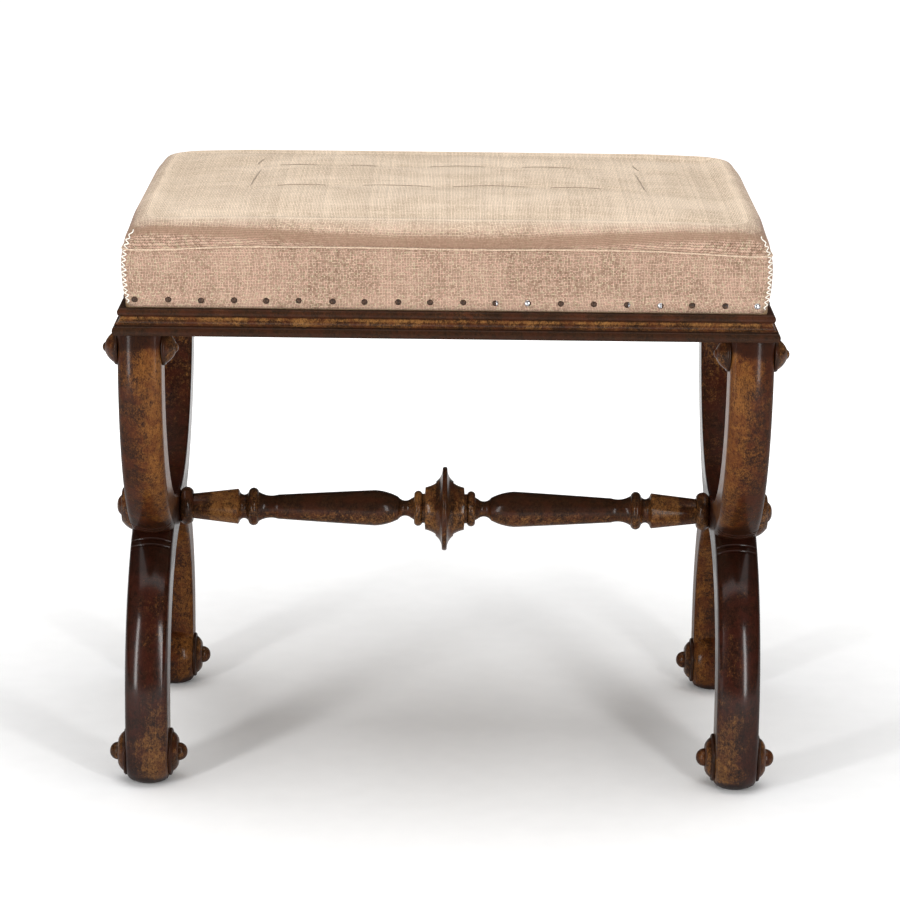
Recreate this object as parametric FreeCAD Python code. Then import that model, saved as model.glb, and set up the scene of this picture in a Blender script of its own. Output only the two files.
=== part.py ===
import FreeCAD, Part
import math
import os

# X frame stool: two pairs of crossed, bent legs joined by a turned stretcher,
# carrying a moulded seat frame with a stitched and tacked hessian seat.
# Millimetres. X runs along the stretcher, -Y is the front, +Z is up, and the
# origin is on the floor under the middle of the seat.

# Seat frame
seat_half_width = 260.0
seat_half_depth = 183.0
seat_underside = 399.5
rail_height = 36.5
rail_thickness = 25.0
rail_tenon_length = 16.0
rail_tenon_height = 13.0
rail_tenon_thickness = 9.0
joint_clearance = 0.1

# Moulding round the seat frame
moulding_height = 22.0
torus_height = 8.0
torus_reach = 10.0
torus_root = 6.6
step_height = 1.2
cove_foot_reach = 8.2
cove_top_reach = 3.4
cove_depth = 1.0
bead_height = 6.4
bead_root = 3.6
bead_reach = 6.0

# Legs
leg_width = 36.0
leg_stand_out = 7.5
leg_setback = 0.5
upper_limb_depth = 37.5
lower_limb_depth = 38.5
foot_reach = 162.0
crossing_height = 205.5
crossing_half_depth = 15.2
limb_crown_radius = 34.0
limb_corner_radius = 7.0
limb_inner_ease = 3.0
foot_roundel_radius = 27.5
foot_axis_height = 25.5
reed_count = 2
reed_pitch = 6.5
groove_radius = 1.7
groove_lift = 0.6
leg_dowel_radius = 6.0
leg_dowel_length = 34.0

# Bosses
boss_spigot_length = 8.0
boss_spigot_radius = 4.0
boss_fit = 0.1
boss_tip_flat = 0.5
top_boss_height = 13.0
top_boss_radius = 14.5
top_boss_drop = 15.2
foot_boss_height = 15.0
foot_boss_radius = 20.0
crossing_boss_height = 19.4
crossing_boss_radius = 24.0
crossing_boss_rim = 5.5

# Stretcher, with stations measured along X from the stool's middle
tenon_radius = 9.0
tenon_length = 22.0
collar_radius = 16.7
collar_width = 11.0
cone_end_radius = 10.9
cone_start_radius = 15.5
cone_start = 181.0
arm_ring_station = 167.5
arm_ring_radius = 16.6
arm_ring_half_width = 4.5
arm_neck_radius = 10.5
vase_start = 40.7
vase_peak_station = 61.0
vase_radius = 15.6
vase_waist_station = 146.0
vase_waist_radius = 10.7
throat_station = 34.7
throat_radius = 6.7
knop_half_length = 29.4
knop_rim_radius = 36.6
knop_rim_half_width = 2.2
knop_step_station = 7.7
knop_step_radius = 22.5
knop_block_station = 17.0
knop_block_radius = 18.6
knop_ring_radius = 15.5
knop_ring_half_width = 3.6
knop_end_radius = 8.6
arm_spigot_radius = 5.0
arm_spigot_length = 17.0

# Corner blocks and their screws
block_leg = 56.0
block_height = 24.0
screw_radius = 2.0
screw_head_radius = 4.2
screw_head_depth = 2.4
screw_length = 32.0

# Webbing and base hessian
web_width = 50.0
web_thickness = 1.2
web_gap = 0.2
long_web_offsets = (-104.0, 0.0, 104.0)
cross_web_offsets = (-184.0, -92.0, 0.0, 92.0, 184.0)
web_end_margin = 9.0
web_tack_head_radius = 3.0
web_tack_head_height = 0.8
web_tack_shank_radius = 0.8
web_tack_shank_length = 9.0
web_tack_spread = 16.0
hessian_thickness = 0.8

# Seat cover and stuffing
cloth_thickness = 1.1
soft_clearance = 0.3
seam_height = 50.5
crown_height = 76.5
side_slope = 3.6
seam_depth = 1.4
roll_side_height = 59.5
roll_crest_height = 72.0
roll_crest_inset = 15.0
groove_inset = 28.0
groove_depth = 2.0
crown_flat_inset = 165.0
corner_radius = 9.0
crest_corner_radius = 26.0
side_draw = 1.2
ring_steps = 2
band_corner_gap = 0.3

# Threads and tacks of the cover
seam_thread_height = 1.4
seam_thread_thickness = 1.0
corner_stitch_pitch = 4.0
corner_stitch_radius = 0.5
corner_stitch_length = 6.0
corner_stitch_slant = 25.0
tie_thread_radius = 0.5
tie_stitch_length = 17.0
tie_stitch_gap = 5.0
tie_row_front = -32.0
tie_row_back = 75.0
tie_row_half_length = 170.0
cover_tack_height = 7.0
cover_tack_count_long = 19
cover_tack_count_short = 13
cover_tack_end_margin = 20.0
cover_tack_head_radius = 2.5
cover_tack_head_height = 1.2
cover_tack_shank_radius = 0.8
cover_tack_shank_length = 11.0

# Places that follow from the sizes above
leg_outer_x = seat_half_width + leg_stand_out
leg_inner_x = leg_outer_x - leg_width
leg_middle_x = leg_outer_x - leg_width / 2
upper_outer_radius = seat_half_depth - leg_setback
upper_inner_radius = upper_outer_radius - upper_limb_depth
lower_outer_radius = foot_reach
lower_inner_radius = lower_outer_radius - lower_limb_depth
upper_centre_z = crossing_height + crossing_half_depth + upper_inner_radius
lower_centre_z = crossing_height - crossing_half_depth - lower_inner_radius
leg_top_y = upper_outer_radius - upper_limb_depth / 2
foot_axis_y = foot_reach - foot_roundel_radius
top_boss_z = seat_underside - top_boss_drop
rail_top = seat_underside + rail_height
moulding_top = seat_underside + moulding_height
rail_inner_x = seat_half_width - rail_thickness
rail_inner_y = seat_half_depth - rail_thickness
dowel_x = seat_half_width - rail_thickness / 2
web_level = rail_top + web_thickness / 2
web_rise = (web_thickness + web_gap) / 2
base_hessian_z = rail_top + web_thickness + web_tack_head_height + web_gap
pad_bottom = base_hessian_z + hessian_thickness + soft_clearance
cover_foot = moulding_top + soft_clearance
rail_corner_radius = corner_radius - soft_clearance - cloth_thickness
cover_half_width = seat_half_width + soft_clearance + cloth_thickness
cover_half_depth = seat_half_depth + soft_clearance + cloth_thickness

STEP_FOLDER = "parts"
FAR = 2000.0


def vec(x, y, z):
    return FreeCAD.Vector(x, y, z)


def line(start, end):
    return Part.LineSegment(start, end).toShape()


def arc(start, middle, end):
    return Part.Arc(start, middle, end).toShape()


def mirrored(shape, x_sign, y_sign):
    """The shape moved to another quarter of the stool by mirroring."""
    result = shape
    if x_sign < 0:
        result = result.mirror(vec(0, 0, 0), vec(1, 0, 0))
    if y_sign < 0:
        result = result.mirror(vec(0, 0, 0), vec(0, 1, 0))
    return result


def block(x_range, y_range, z_range):
    size = [high - low for low, high in (x_range, y_range, z_range)]
    return Part.makeBox(*size, vec(x_range[0], y_range[0], z_range[0]))


def rod_x(radius, start, end, y, z):
    """A round bar along X from start to end."""
    low = min(start, end)
    return Part.makeCylinder(radius, abs(end - start), vec(low, y, z), vec(1, 0, 0))


def bored(shape, holes):
    """The shape less those holes that reach it."""
    near = [hole for hole in holes if hole.BoundBox.intersect(shape.BoundBox)]
    return shape.cut(near) if near else shape


def turning(outline):
    """A solid turned about the X axis.

    The outline is a list of strokes from the axis back to the axis. A stroke
    of one point is a straight cut to it, and one of two points is an arc
    through the first to the second. Points are (station, radius).
    """
    def place(pair):
        return vec(pair[0], 0, pair[1])
    here = place(outline[0][0])
    first = here
    edges = []
    for stroke in outline[1:]:
        end = place(stroke[-1])
        if len(stroke) == 2:
            edges.append(arc(here, place(stroke[0]), end))
        else:
            edges.append(line(here, end))
        here = end
    edges.append(line(here, first))
    face = Part.Face(Part.Wire(edges))
    return face.revolve(vec(0, 0, 0), vec(1, 0, 0), 360)


# Legs


def limb_face(inner_radius, outer_radius, centre_z, ease):
    """Cross-section of a bent limb at the height of its bend's centre.

    The outer face is a shallow arc, its two corners are rounded in tangent
    to it, the sides are flat and the inner corners are eased or left sharp.
    """
    half = leg_width / 2
    core = half - limb_corner_radius
    reach = limb_crown_radius - limb_corner_radius
    rise = math.sqrt(reach ** 2 - core ** 2)
    crown_centre = outer_radius - limb_crown_radius
    shoulder = crown_centre + rise
    stretch = limb_crown_radius / reach
    crown_end = (core * stretch, crown_centre + rise * stretch)
    turn = math.atan2(rise, core) / 2
    corner = (core + limb_corner_radius * math.cos(turn), shoulder + limb_corner_radius * math.sin(turn))

    def place(across, radius):
        return vec(leg_middle_x + across, -radius, centre_z)

    edges = [
        arc(place(-crown_end[0], crown_end[1]), place(0, outer_radius), place(*crown_end)),
        arc(place(*crown_end), place(*corner), place(half, shoulder)),
    ]
    if ease > 0:
        bite = ease * (1 - math.sqrt(0.5))
        edges += [
            line(place(half, shoulder), place(half, inner_radius + ease)),
            arc(place(half, inner_radius + ease), place(half - bite, inner_radius + bite),
                place(half - ease, inner_radius)),
            line(place(half - ease, inner_radius), place(ease - half, inner_radius)),
            arc(place(ease - half, inner_radius), place(bite - half, inner_radius + bite),
                place(-half, inner_radius + ease)),
            line(place(-half, inner_radius + ease), place(-half, shoulder)),
        ]
    else:
        edges += [
            line(place(half, shoulder), place(half, inner_radius)),
            line(place(half, inner_radius), place(-half, inner_radius)),
            line(place(-half, inner_radius), place(-half, shoulder)),
        ]
    edges.append(arc(place(-half, shoulder), place(-corner[0], corner[1]), place(-crown_end[0], crown_end[1])))
    return Part.Face(Part.Wire(edges))


def upper_quarter(ease):
    """Front half of the upper U, from the seat's underside down to the crossing."""
    face = limb_face(upper_inner_radius, upper_outer_radius, upper_centre_z, ease)
    bend = face.revolve(vec(0, 0, upper_centre_z), vec(1, 0, 0), 90)
    post = face.extrude(vec(0, 0, seat_underside - upper_centre_z))
    return bend.fuse(post).cut(notch_grooves(upper_centre_z, upper_outer_radius, -1))


def lower_quarter(ease):
    """Front half of the lower arch, from the crossing down to the round foot."""
    face = limb_face(lower_inner_radius, lower_outer_radius, lower_centre_z, ease)
    bend = face.revolve(vec(0, 0, lower_centre_z), vec(1, 0, 0), -90)
    post = face.extrude(vec(0, 0, foot_axis_height - lower_centre_z))
    disc = limb_face(0, foot_roundel_radius, 0, 0).revolve(vec(0, 0, 0), vec(1, 0, 0), 360)
    disc.translate(vec(0, -foot_axis_y, foot_axis_height))
    foot = disc.common(block((0, FAR), (-FAR, 0), (0, FAR)))
    return bend.fuse([post, foot]).cut(notch_grooves(lower_centre_z, lower_outer_radius, 1))


def notch():
    """Where the two bends' outer faces meet at the front: distance in front and height."""
    gap = upper_centre_z - lower_centre_z
    height = (gap ** 2 + lower_outer_radius ** 2 - upper_outer_radius ** 2) / (2 * gap)
    return math.sqrt(lower_outer_radius ** 2 - height ** 2), lower_centre_z + height


def notch_grooves(centre_z, outer_radius, turn):
    """Grooves across a limb's crowned face that leave carved reeds beside the notch."""
    reach, height = notch()
    start = math.atan2(height - centre_z, -reach)
    grooves = []
    for index in range(reed_count):
        angle = start + turn * (index + 1) * reed_pitch / outer_radius
        out_y, out_z = math.cos(angle), math.sin(angle)
        core = outer_radius - limb_crown_radius
        centre = vec(leg_middle_x, core * out_y, centre_z + core * out_z)
        grooves.append(Part.makeTorus(limb_crown_radius + groove_lift, groove_radius, centre, vec(0, -out_z, out_y)))
    return grooves


def main_solid(shape):
    """The largest solid, without slivers left where the limbs are lapped."""
    return max(shape.Solids, key=lambda solid: solid.Volume)


def leg_holes():
    """Every bore in a pair of crossed legs on the right."""
    holes = [
        rod_x(tenon_radius + joint_clearance, leg_inner_x - 1, leg_inner_x + tenon_length, 0, crossing_height),
        rod_x(boss_spigot_radius + boss_fit, leg_inner_x, leg_outer_x + 1, 0, crossing_height),
    ]
    depth = boss_spigot_length + boss_fit
    radius = boss_spigot_radius + boss_fit
    for y_sign in (-1, 1):
        for y, z in ((leg_top_y, top_boss_z), (foot_axis_y, foot_axis_height)):
            holes.append(rod_x(radius, leg_outer_x - depth, leg_outer_x + 1, y_sign * y, z))
            holes.append(rod_x(radius, leg_inner_x - 1, leg_inner_x + depth, y_sign * y, z))
        holes.append(Part.makeCylinder(
            leg_dowel_radius + joint_clearance, leg_dowel_length / 2 + joint_clearance,
            vec(dowel_x, y_sign * leg_top_y, seat_underside - leg_dowel_length / 2 - joint_clearance)))
    return holes


def right_legs():
    """The two crossed legs on the right, halved into each other.

    The outer leg runs from the top at the front to the foot at the back and
    passes outside the inner leg, which runs the other way.
    """
    upper = upper_quarter(limb_inner_ease)
    lower = lower_quarter(limb_inner_ease)
    upper_opening = rod_x(upper_inner_radius, 0, FAR, 0, upper_centre_z)
    lower_opening = rod_x(lower_inner_radius, 0, FAR, 0, lower_centre_z)
    inboard = block((0, leg_middle_x), (-FAR, FAR), (0, FAR))
    outboard = block((leg_middle_x, FAR), (-FAR, FAR), (0, FAR))
    upper_lap = upper_quarter(0)
    lower_lap = lower_quarter(0)
    holes = leg_holes()
    legs = {}
    for name, lapped_half, upper_side, lower_side in (("outer", inboard, 1, -1), ("inner", outboard, -1, 1)):
        top = upper.cut([lower_opening, lower_lap.common(lapped_half)])
        bottom = lower.cut([upper_opening, upper_lap.common(lapped_half)])
        leg = mirrored(main_solid(top), 1, upper_side).fuse(mirrored(main_solid(bottom), 1, lower_side))
        legs[name] = main_solid(leg.cut(holes).removeSplitter())
    return legs


# Bosses, turned with their base at station 0 and their tip along +X


def spigot_strokes():
    return [[(-boss_spigot_length, 0)], [(-boss_spigot_length, boss_spigot_radius)], [(0, boss_spigot_radius)]]


def top_boss():
    tip = 4.0
    groove = 0.8
    step = 3.0
    radius = top_boss_radius
    height = top_boss_height
    return turning(spigot_strokes() + [
        [(0, radius)],
        [(step * 0.7, radius * 0.99), (step, radius - groove)],
        [(step, radius - 2 * groove)],
        [(height * 0.6, radius * 0.62), (height - tip * 0.55, tip)],
        [(height - tip * 0.15, tip * 0.6), (height, boss_tip_flat)],
        [(height, 0)],
    ])


def foot_boss():
    rim = 2.5
    groove = 1.4
    knob = 7.6
    radius = foot_boss_radius
    height = foot_boss_height
    return turning(spigot_strokes() + [
        [(0, radius)],
        [(rim * 0.8, radius * 0.985), (rim, radius - groove)],
        [(rim, radius - 2 * groove)],
        [(height * 0.36, radius * 0.74), (height * 0.5, radius * 0.56)],
        [(height * 0.5, knob)],
        [(height * 0.84, knob * 0.76), (height, boss_tip_flat)],
        [(height, 0)],
    ])


def crossing_boss():
    radius = crossing_boss_radius
    height = crossing_boss_height
    ring = 15.5
    dome = 9.8
    ledge = height - 5.2
    return turning(spigot_strokes() + [
        [(0, radius - 1)],
        [(crossing_boss_rim / 2, radius), (crossing_boss_rim, radius - 1)],
        [(crossing_boss_rim, radius - 2.2)],
        [(crossing_boss_rim + 4.0, radius - 4.2), (ledge, ring)],
        [(ledge + 0.9, ring - 1.6), (ledge, ring - 3.2)],
        [(ledge, dome)],
        [(height - 1.2, dome * 0.66), (height, boss_tip_flat)],
        [(height, 0)],
    ])


def placed_boss(boss, outward, x, y, z):
    """A boss set on a face at x, with its tip pointing outward or inward."""
    shape = boss.copy() if outward > 0 else boss.mirror(vec(0, 0, 0), vec(1, 0, 0))
    shape.translate(vec(x, y, z))
    return shape


def right_bosses():
    """All bosses of the right end, named by place."""
    bosses = {"crossing_boss": placed_boss(crossing_boss(), 1, leg_outer_x, 0, crossing_height)}
    kinds = {"top_boss": (top_boss(), leg_top_y, top_boss_z), "foot_boss": (foot_boss(), foot_axis_y, foot_axis_height)}
    for kind, (boss, y, z) in kinds.items():
        for depth_name, y_sign in (("front", -1), ("back", 1)):
            for face_name, x, outward in (("outer", leg_outer_x, 1), ("inner", leg_inner_x, -1)):
                name = kind + "_" + depth_name + "_" + face_name
                bosses[name] = placed_boss(boss, outward, x, y_sign * y, z)
    return bosses


# Stretcher


def stretcher_knop():
    """Sharp-rimmed knop in the middle, bored at both ends for the arms."""
    rim = knop_rim_half_width
    ring_middle = (knop_block_station + knop_half_length) / 2
    ring_low = ring_middle - knop_ring_half_width
    ring_high = ring_middle + knop_ring_half_width
    groove_radius = knop_ring_radius - 2.6
    half = [
        [(0, 0)],
        [(0, knop_rim_radius)],
        [(rim * 0.8, knop_rim_radius - 0.5), (rim, knop_rim_radius - 2)],
        [(rim * 1.7, knop_rim_radius - 8), (knop_step_station, knop_step_radius + 1.5)],
        [(knop_step_station, knop_step_radius)],
        [((knop_step_station + knop_block_station) / 2, knop_block_radius + 1.4),
         (knop_block_station, knop_block_radius)],
        [(knop_block_station + 0.6, groove_radius)],
        [(ring_low, groove_radius)],
        [(ring_middle, knop_ring_radius), (ring_high, groove_radius)],
        [(ring_high, knop_end_radius + 1.5)],
        [(knop_half_length, knop_end_radius)],
        [(knop_half_length, 0)],
    ]
    right = turning(half)
    whole = right.fuse(right.mirror(vec(0, 0, 0), vec(1, 0, 0)))
    bore_depth = arm_spigot_length + joint_clearance
    bore = rod_x(arm_spigot_radius + joint_clearance, knop_half_length - bore_depth, FAR, 0, 0)
    knop = whole.cut([bore, bore.mirror(vec(0, 0, 0), vec(1, 0, 0))]).removeSplitter()
    knop.translate(vec(0, 0, crossing_height))
    return knop


def stretcher_arm():
    """Right arm of the stretcher: vase, ring, cone, collar and tenon."""
    collar_start = leg_inner_x - collar_width
    ring_low = arm_ring_station - arm_ring_half_width
    ring_high = arm_ring_station + arm_ring_half_width
    belly = (vase_peak_station + vase_waist_station) / 2
    arm = turning([
        [(knop_half_length - arm_spigot_length, 0)],
        [(knop_half_length - arm_spigot_length, arm_spigot_radius)],
        [(knop_half_length, arm_spigot_radius)],
        [(knop_half_length, knop_end_radius)],
        [(throat_station, throat_radius), (vase_start, throat_radius + 3.3)],
        [((vase_start + vase_peak_station) / 2, vase_radius - 1.6), (vase_peak_station, vase_radius)],
        [(belly, (vase_radius + vase_waist_radius) / 2 + 0.1), (vase_waist_station, vase_waist_radius)],
        [(ring_low - 4, vase_waist_radius + 0.3), (ring_low, arm_ring_radius - 3.6)],
        [(arm_ring_station, arm_ring_radius), (ring_high, arm_ring_radius - 3.8)],
        [((ring_high + cone_start) / 2, arm_neck_radius), (cone_start - 1, cone_start_radius - 1.5)],
        [(cone_start, cone_start_radius)],
        [(collar_start, cone_end_radius)],
        [(collar_start, collar_radius - 3.4)],
        [(collar_start + collar_width / 2, collar_radius), (leg_inner_x, collar_radius - 3.4)],
        [(leg_inner_x, tenon_radius)],
        [(leg_inner_x + tenon_length - joint_clearance, tenon_radius)],
        [(leg_inner_x + tenon_length - joint_clearance, 0)],
    ])
    arm.translate(vec(0, 0, crossing_height))
    return arm


# Seat frame


def moulding_wire(x_sign, y_sign):
    """Section of the moulding in the mitre plane of one corner."""
    base = seat_underside
    torus_top = base + torus_height
    cove_foot = torus_top + step_height
    bead_foot = moulding_top - bead_height

    def place(reach, z):
        return vec(x_sign * (seat_half_width + reach), y_sign * (seat_half_depth + reach), z)

    cove_middle = ((cove_foot_reach + cove_top_reach) / 2 - cove_depth, (cove_foot + bead_foot) / 2 - cove_depth)
    edges = [
        line(place(0, base), place(torus_root, base)),
        arc(place(torus_root, base), place(torus_reach, base + torus_height / 2), place(torus_root, torus_top)),
        line(place(torus_root, torus_top), place(torus_root, cove_foot)),
        line(place(torus_root, cove_foot), place(cove_foot_reach, cove_foot)),
        arc(place(cove_foot_reach, cove_foot), place(*cove_middle), place(cove_top_reach, bead_foot)),
        line(place(cove_top_reach, bead_foot), place(bead_root, bead_foot)),
        arc(place(bead_root, bead_foot), place(bead_reach, (bead_foot + moulding_top) / 2),
            place(bead_root, moulding_top)),
        line(place(bead_root, moulding_top), place(0, moulding_top)),
        line(place(0, moulding_top), place(0, base)),
    ]
    return Part.Wire(edges)


def mouldings():
    corners = {
        "front": ((-1, -1), (1, -1)),
        "back": ((-1, 1), (1, 1)),
        "left": ((-1, -1), (-1, 1)),
        "right": ((1, -1), (1, 1)),
    }
    return {
        "moulding_" + name: Part.makeLoft([moulding_wire(*pair[0]), moulding_wire(*pair[1])], True, True)
        for name, pair in corners.items()
    }


def rail_tenon(clearance):
    """Tenon on the right end of the front rail, or the mortise that takes it."""
    y_middle = -seat_half_depth + rail_thickness / 2
    half = rail_tenon_thickness / 2 + clearance
    z_high = rail_top - (rail_thickness - rail_tenon_thickness) / 2 + clearance
    return block((rail_inner_x - 1, rail_inner_x + rail_tenon_length + clearance),
                 (y_middle - half, y_middle + half),
                 (z_high - rail_tenon_height - 2 * clearance, z_high))


def leg_dowels():
    low = seat_underside - leg_dowel_length / 2
    return [
        Part.makeCylinder(leg_dowel_radius, leg_dowel_length, vec(x_sign * dowel_x, y_sign * leg_top_y, low))
        for x_sign in (-1, 1) for y_sign in (-1, 1)
    ]


def corner_screws(clearance):
    """Two screws through the corner block at the front right, or their holes."""
    radius = screw_radius + clearance
    head = screw_head_radius + clearance
    reach = block_leg * 0.42
    z_low = seat_underside + block_height * 0.32
    z_high = seat_underside + block_height * 0.68
    slope_x = rail_inner_x - (block_leg - reach)
    slope_y = -(rail_inner_y - (block_leg - reach))
    screws = []
    for start, direction, z in (
        (vec(slope_x + screw_head_radius, -rail_inner_y + reach, 0), vec(1, 0, 0), z_high),
        (vec(rail_inner_x - reach, slope_y - screw_head_radius, 0), vec(0, -1, 0), z_low),
    ):
        start.z = z
        shank = Part.makeCylinder(radius, screw_length + clearance, start, direction)
        cone = Part.makeCone(head, radius, screw_head_depth, start, direction)
        if clearance > 0:
            mouth = Part.makeCylinder(head, 2 * screw_head_radius, start - direction * 2 * screw_head_radius, direction)
            screws.append(shank.fuse([cone, mouth]))
        else:
            screws.append(shank.fuse(cone).removeSplitter())
    return screws


def corner_block():
    """Three-cornered glue block inside the frame at the front right."""
    corner = vec(rail_inner_x, -rail_inner_y, seat_underside)
    along = vec(rail_inner_x - block_leg, -rail_inner_y, seat_underside)
    back = vec(rail_inner_x, -rail_inner_y + block_leg, seat_underside)
    face = Part.Face(Part.makePolygon([corner, along, back, corner]))
    return face.extrude(vec(0, 0, block_height)).cut(corner_screws(joint_clearance))


def tack(head_radius, head_height, shank_radius, shank_length):
    """A tack standing on its head's underside at the origin, point down."""
    ball = (head_radius ** 2 + head_height ** 2) / (2 * head_height)
    dome = Part.makeSphere(ball, vec(0, 0, head_height - ball))
    head = dome.common(block((-FAR, FAR), (-FAR, FAR), (0, FAR)))
    point = shank_length * 0.3
    shank = Part.makeCylinder(shank_radius, shank_length - point, vec(0, 0, point - shank_length))
    tip = Part.makeCone(shank_radius * 0.15, shank_radius, point, vec(0, 0, -shank_length))
    return head.fuse([shank, tip]).removeSplitter()


def webbing(offsets, span, crossings, along_x, phase):
    """Flat webs that pass over and under the webs that cross them."""
    webs = []
    for index, offset in enumerate(offsets):
        levels = [(-span, 0)]
        for number, crossing in enumerate(crossings):
            side = 1 if (index + number + phase) % 2 else -1
            flat = web_width / 2 + 2
            levels += [(crossing - flat, side * web_rise), (crossing + flat, side * web_rise)]
        levels.append((span, 0))
        first_inner = rail_inner_x if along_x else rail_inner_y
        levels.insert(1, (-first_inner, 0))
        levels.insert(-1, (first_inner, 0))
        top = [(s, web_level + lift + web_thickness / 2) for s, lift in levels]
        under = [(s, web_level + lift - web_thickness / 2) for s, lift in reversed(levels)]
        low = offset - web_width / 2
        if along_x:
            points = [vec(s, low, z) for s, z in top + under]
            sweep = vec(0, web_width, 0)
        else:
            points = [vec(low, s, z) for s, z in top + under]
            sweep = vec(web_width, 0, 0)
        webs.append(Part.Face(Part.makePolygon(points + points[:1])).extrude(sweep))
    return webs


def web_tacks():
    """Three tacks at each end of each web."""
    pattern = tack(web_tack_head_radius, web_tack_head_height, web_tack_shank_radius, web_tack_shank_length)
    places = []
    for offset in long_web_offsets:
        for x_sign in (-1, 1):
            for step in (-1, 0, 1):
                places.append((x_sign * (seat_half_width - rail_thickness / 2), offset + step * web_tack_spread))
    for offset in cross_web_offsets:
        for y_sign in (-1, 1):
            for step in (-1, 0, 1):
                places.append((offset + step * web_tack_spread, y_sign * (seat_half_depth - rail_thickness / 2)))
    tacks = []
    for x, y in places:
        piece = pattern.copy()
        piece.translate(vec(x, y, rail_top + web_thickness))
        tacks.append(piece)
    return tacks, places


# Seat cover


def cover_rings(offset):
    """Rings of the seat's surface from its foot to its crown, moved in by an offset.

    Each ring is (inset from the cover's foot, height, corner radius, draw),
    where draw is how far the side pulls in between its corners.
    """
    seam_inset = side_slope + seam_depth
    crest = roll_crest_height
    groove_floor = crest - groove_depth
    crown_run = crown_flat_inset - groove_inset
    crown_rise = crown_height - groove_floor
    upright = rail_top - cover_foot + soft_clearance
    outline = [
        (0.0, 0.0, corner_radius, 0.0),
        (0.0, upright, corner_radius, 0.0),
        (side_slope * 0.5, (upright + seam_height) / 2, corner_radius, side_draw * 0.5),
        (side_slope, seam_height - 5.0, corner_radius, side_draw),
        (seam_inset, seam_height, corner_radius, side_draw),
        (side_slope - seam_depth, seam_height + 3.2, corner_radius + 1, side_draw),
        (0.8, roll_side_height, corner_radius + 4, side_draw),
        (roll_crest_inset * 0.3, crest - 5.6, corner_radius + 8, side_draw),
        (roll_crest_inset, crest, crest_corner_radius, side_draw),
        (groove_inset, groove_floor, crest_corner_radius, side_draw),
        (groove_inset + 0.10 * crown_run, groove_floor + 0.30 * crown_rise, crest_corner_radius, side_draw),
        (groove_inset + 0.38 * crown_run, groove_floor + 0.66 * crown_rise, crest_corner_radius, 0.0),
        (groove_inset + 0.72 * crown_run, groove_floor + 0.92 * crown_rise, crest_corner_radius, 0.0),
        (crown_flat_inset, crown_height, 0.4 * crest_corner_radius, 0.0),
    ]
    rings = []
    last = len(outline) - 1
    for index in range(last):
        before = outline[max(index - 1, 0)]
        start, end = outline[index], outline[index + 1]
        after = outline[min(index + 2, last)]
        for part in range(ring_steps):
            rings.append(eased(before, start, end, after, part / ring_steps))
    rings.append(outline[last])
    return [moved_in(rings, index, offset) for index in range(len(rings))]


def eased(before, start, end, after, share):
    """A ring between two others on a smooth curve through all four."""
    square, cube = share ** 2, share ** 3
    return tuple(
        0.5 * (2 * b + (c - a) * share + (2 * a - 5 * b + 4 * c - d) * square + (3 * b - a - 3 * c + d) * cube)
        for a, b, c, d in zip(before, start, end, after)
    )


def moved_in(rings, index, offset):
    """One ring shifted square to the outline, into the seat."""
    inset, height, radius, draw = rings[index]
    if index == 0:
        inward, down = offset, 0.0
    elif index == len(rings) - 1:
        inward, down = 0.0, offset
    else:
        run = rings[index + 1][0] - rings[index - 1][0]
        climb = rings[index + 1][1] - rings[index - 1][1]
        inward = offset * climb / math.hypot(run, climb)
        down = offset * run / math.hypot(run, climb)
    return inset + inward, cover_foot + height - down, max(radius - inward, 1.0), max(draw, 0.0)


def ring_wire(inset, z, radius, draw):
    """A rounded rectangle whose long and short sides are drawn in by a little."""
    hx = cover_half_width - inset
    hy = cover_half_depth - inset
    nip = radius * (1 - math.sqrt(0.5))
    corners = []
    for x_sign, y_sign in ((1, -1), (1, 1), (-1, 1), (-1, -1)):
        edge_point = vec(x_sign * (hx - radius), y_sign * hy, z)
        side_point = vec(x_sign * hx, y_sign * (hy - radius), z)
        middle = vec(x_sign * (hx - nip), y_sign * (hy - nip), z)
        if x_sign * y_sign < 0:
            corners.append((edge_point, middle, side_point))
        else:
            corners.append((side_point, middle, edge_point))
    edges = []
    for index, (start, middle, end) in enumerate(corners):
        edges.append(arc(start, middle, end))
        following = corners[(index + 1) % 4][0]
        if draw > 0.05:
            half_way = (end + following) * 0.5
            pull = vec(-half_way.x, -half_way.y, 0)
            pull.normalize()
            edges.append(arc(end, half_way + pull * draw, following))
        else:
            edges.append(line(end, following))
    return Part.Wire(edges)


def seat_form(offset, bottom):
    """Solid of the seat, moved in by an offset and cut off below a height."""
    rings = cover_rings(offset)
    wires = [ring_wire(*ring) for ring in rings]
    form = Part.makeLoft(wires, True, True)
    if bottom > rings[0][1]:
        form = form.common(block((-FAR, FAR), (-FAR, FAR), (bottom, FAR)))
    return form


def tack_places():
    """Cover tacks as (x, y, direction out of the seat)."""
    places = []
    for count, half_span, face, along_x in (
        (cover_tack_count_long, cover_half_width, cover_half_depth, True),
        (cover_tack_count_short, cover_half_depth, cover_half_width, False),
    ):
        reach = half_span - cover_tack_end_margin
        for index in range(count):
            s = -reach + 2 * reach * index / (count - 1)
            for sign in (-1, 1):
                if along_x:
                    places.append((s, sign * face, vec(0, sign, 0)))
                else:
                    places.append((sign * face, s, vec(sign, 0, 0)))
    return places


def cover_tacks():
    pattern = tack(cover_tack_head_radius, cover_tack_head_height, cover_tack_shank_radius, cover_tack_shank_length)
    z = cover_foot + cover_tack_height
    tacks = []
    for x, y, out in tack_places():
        piece = pattern.copy()
        piece.Placement = FreeCAD.Placement(vec(x, y, z), FreeCAD.Rotation(vec(0, 0, 1), out))
        tacks.append(piece)
    return tacks


def cover_tack_holes():
    z = cover_foot + cover_tack_height
    depth = cover_tack_shank_length + joint_clearance
    return [
        Part.makeCylinder(cover_tack_shank_radius + joint_clearance, depth + 1,
                          vec(x, y, z) - out * depth, out)
        for x, y, out in tack_places()
    ]


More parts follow.
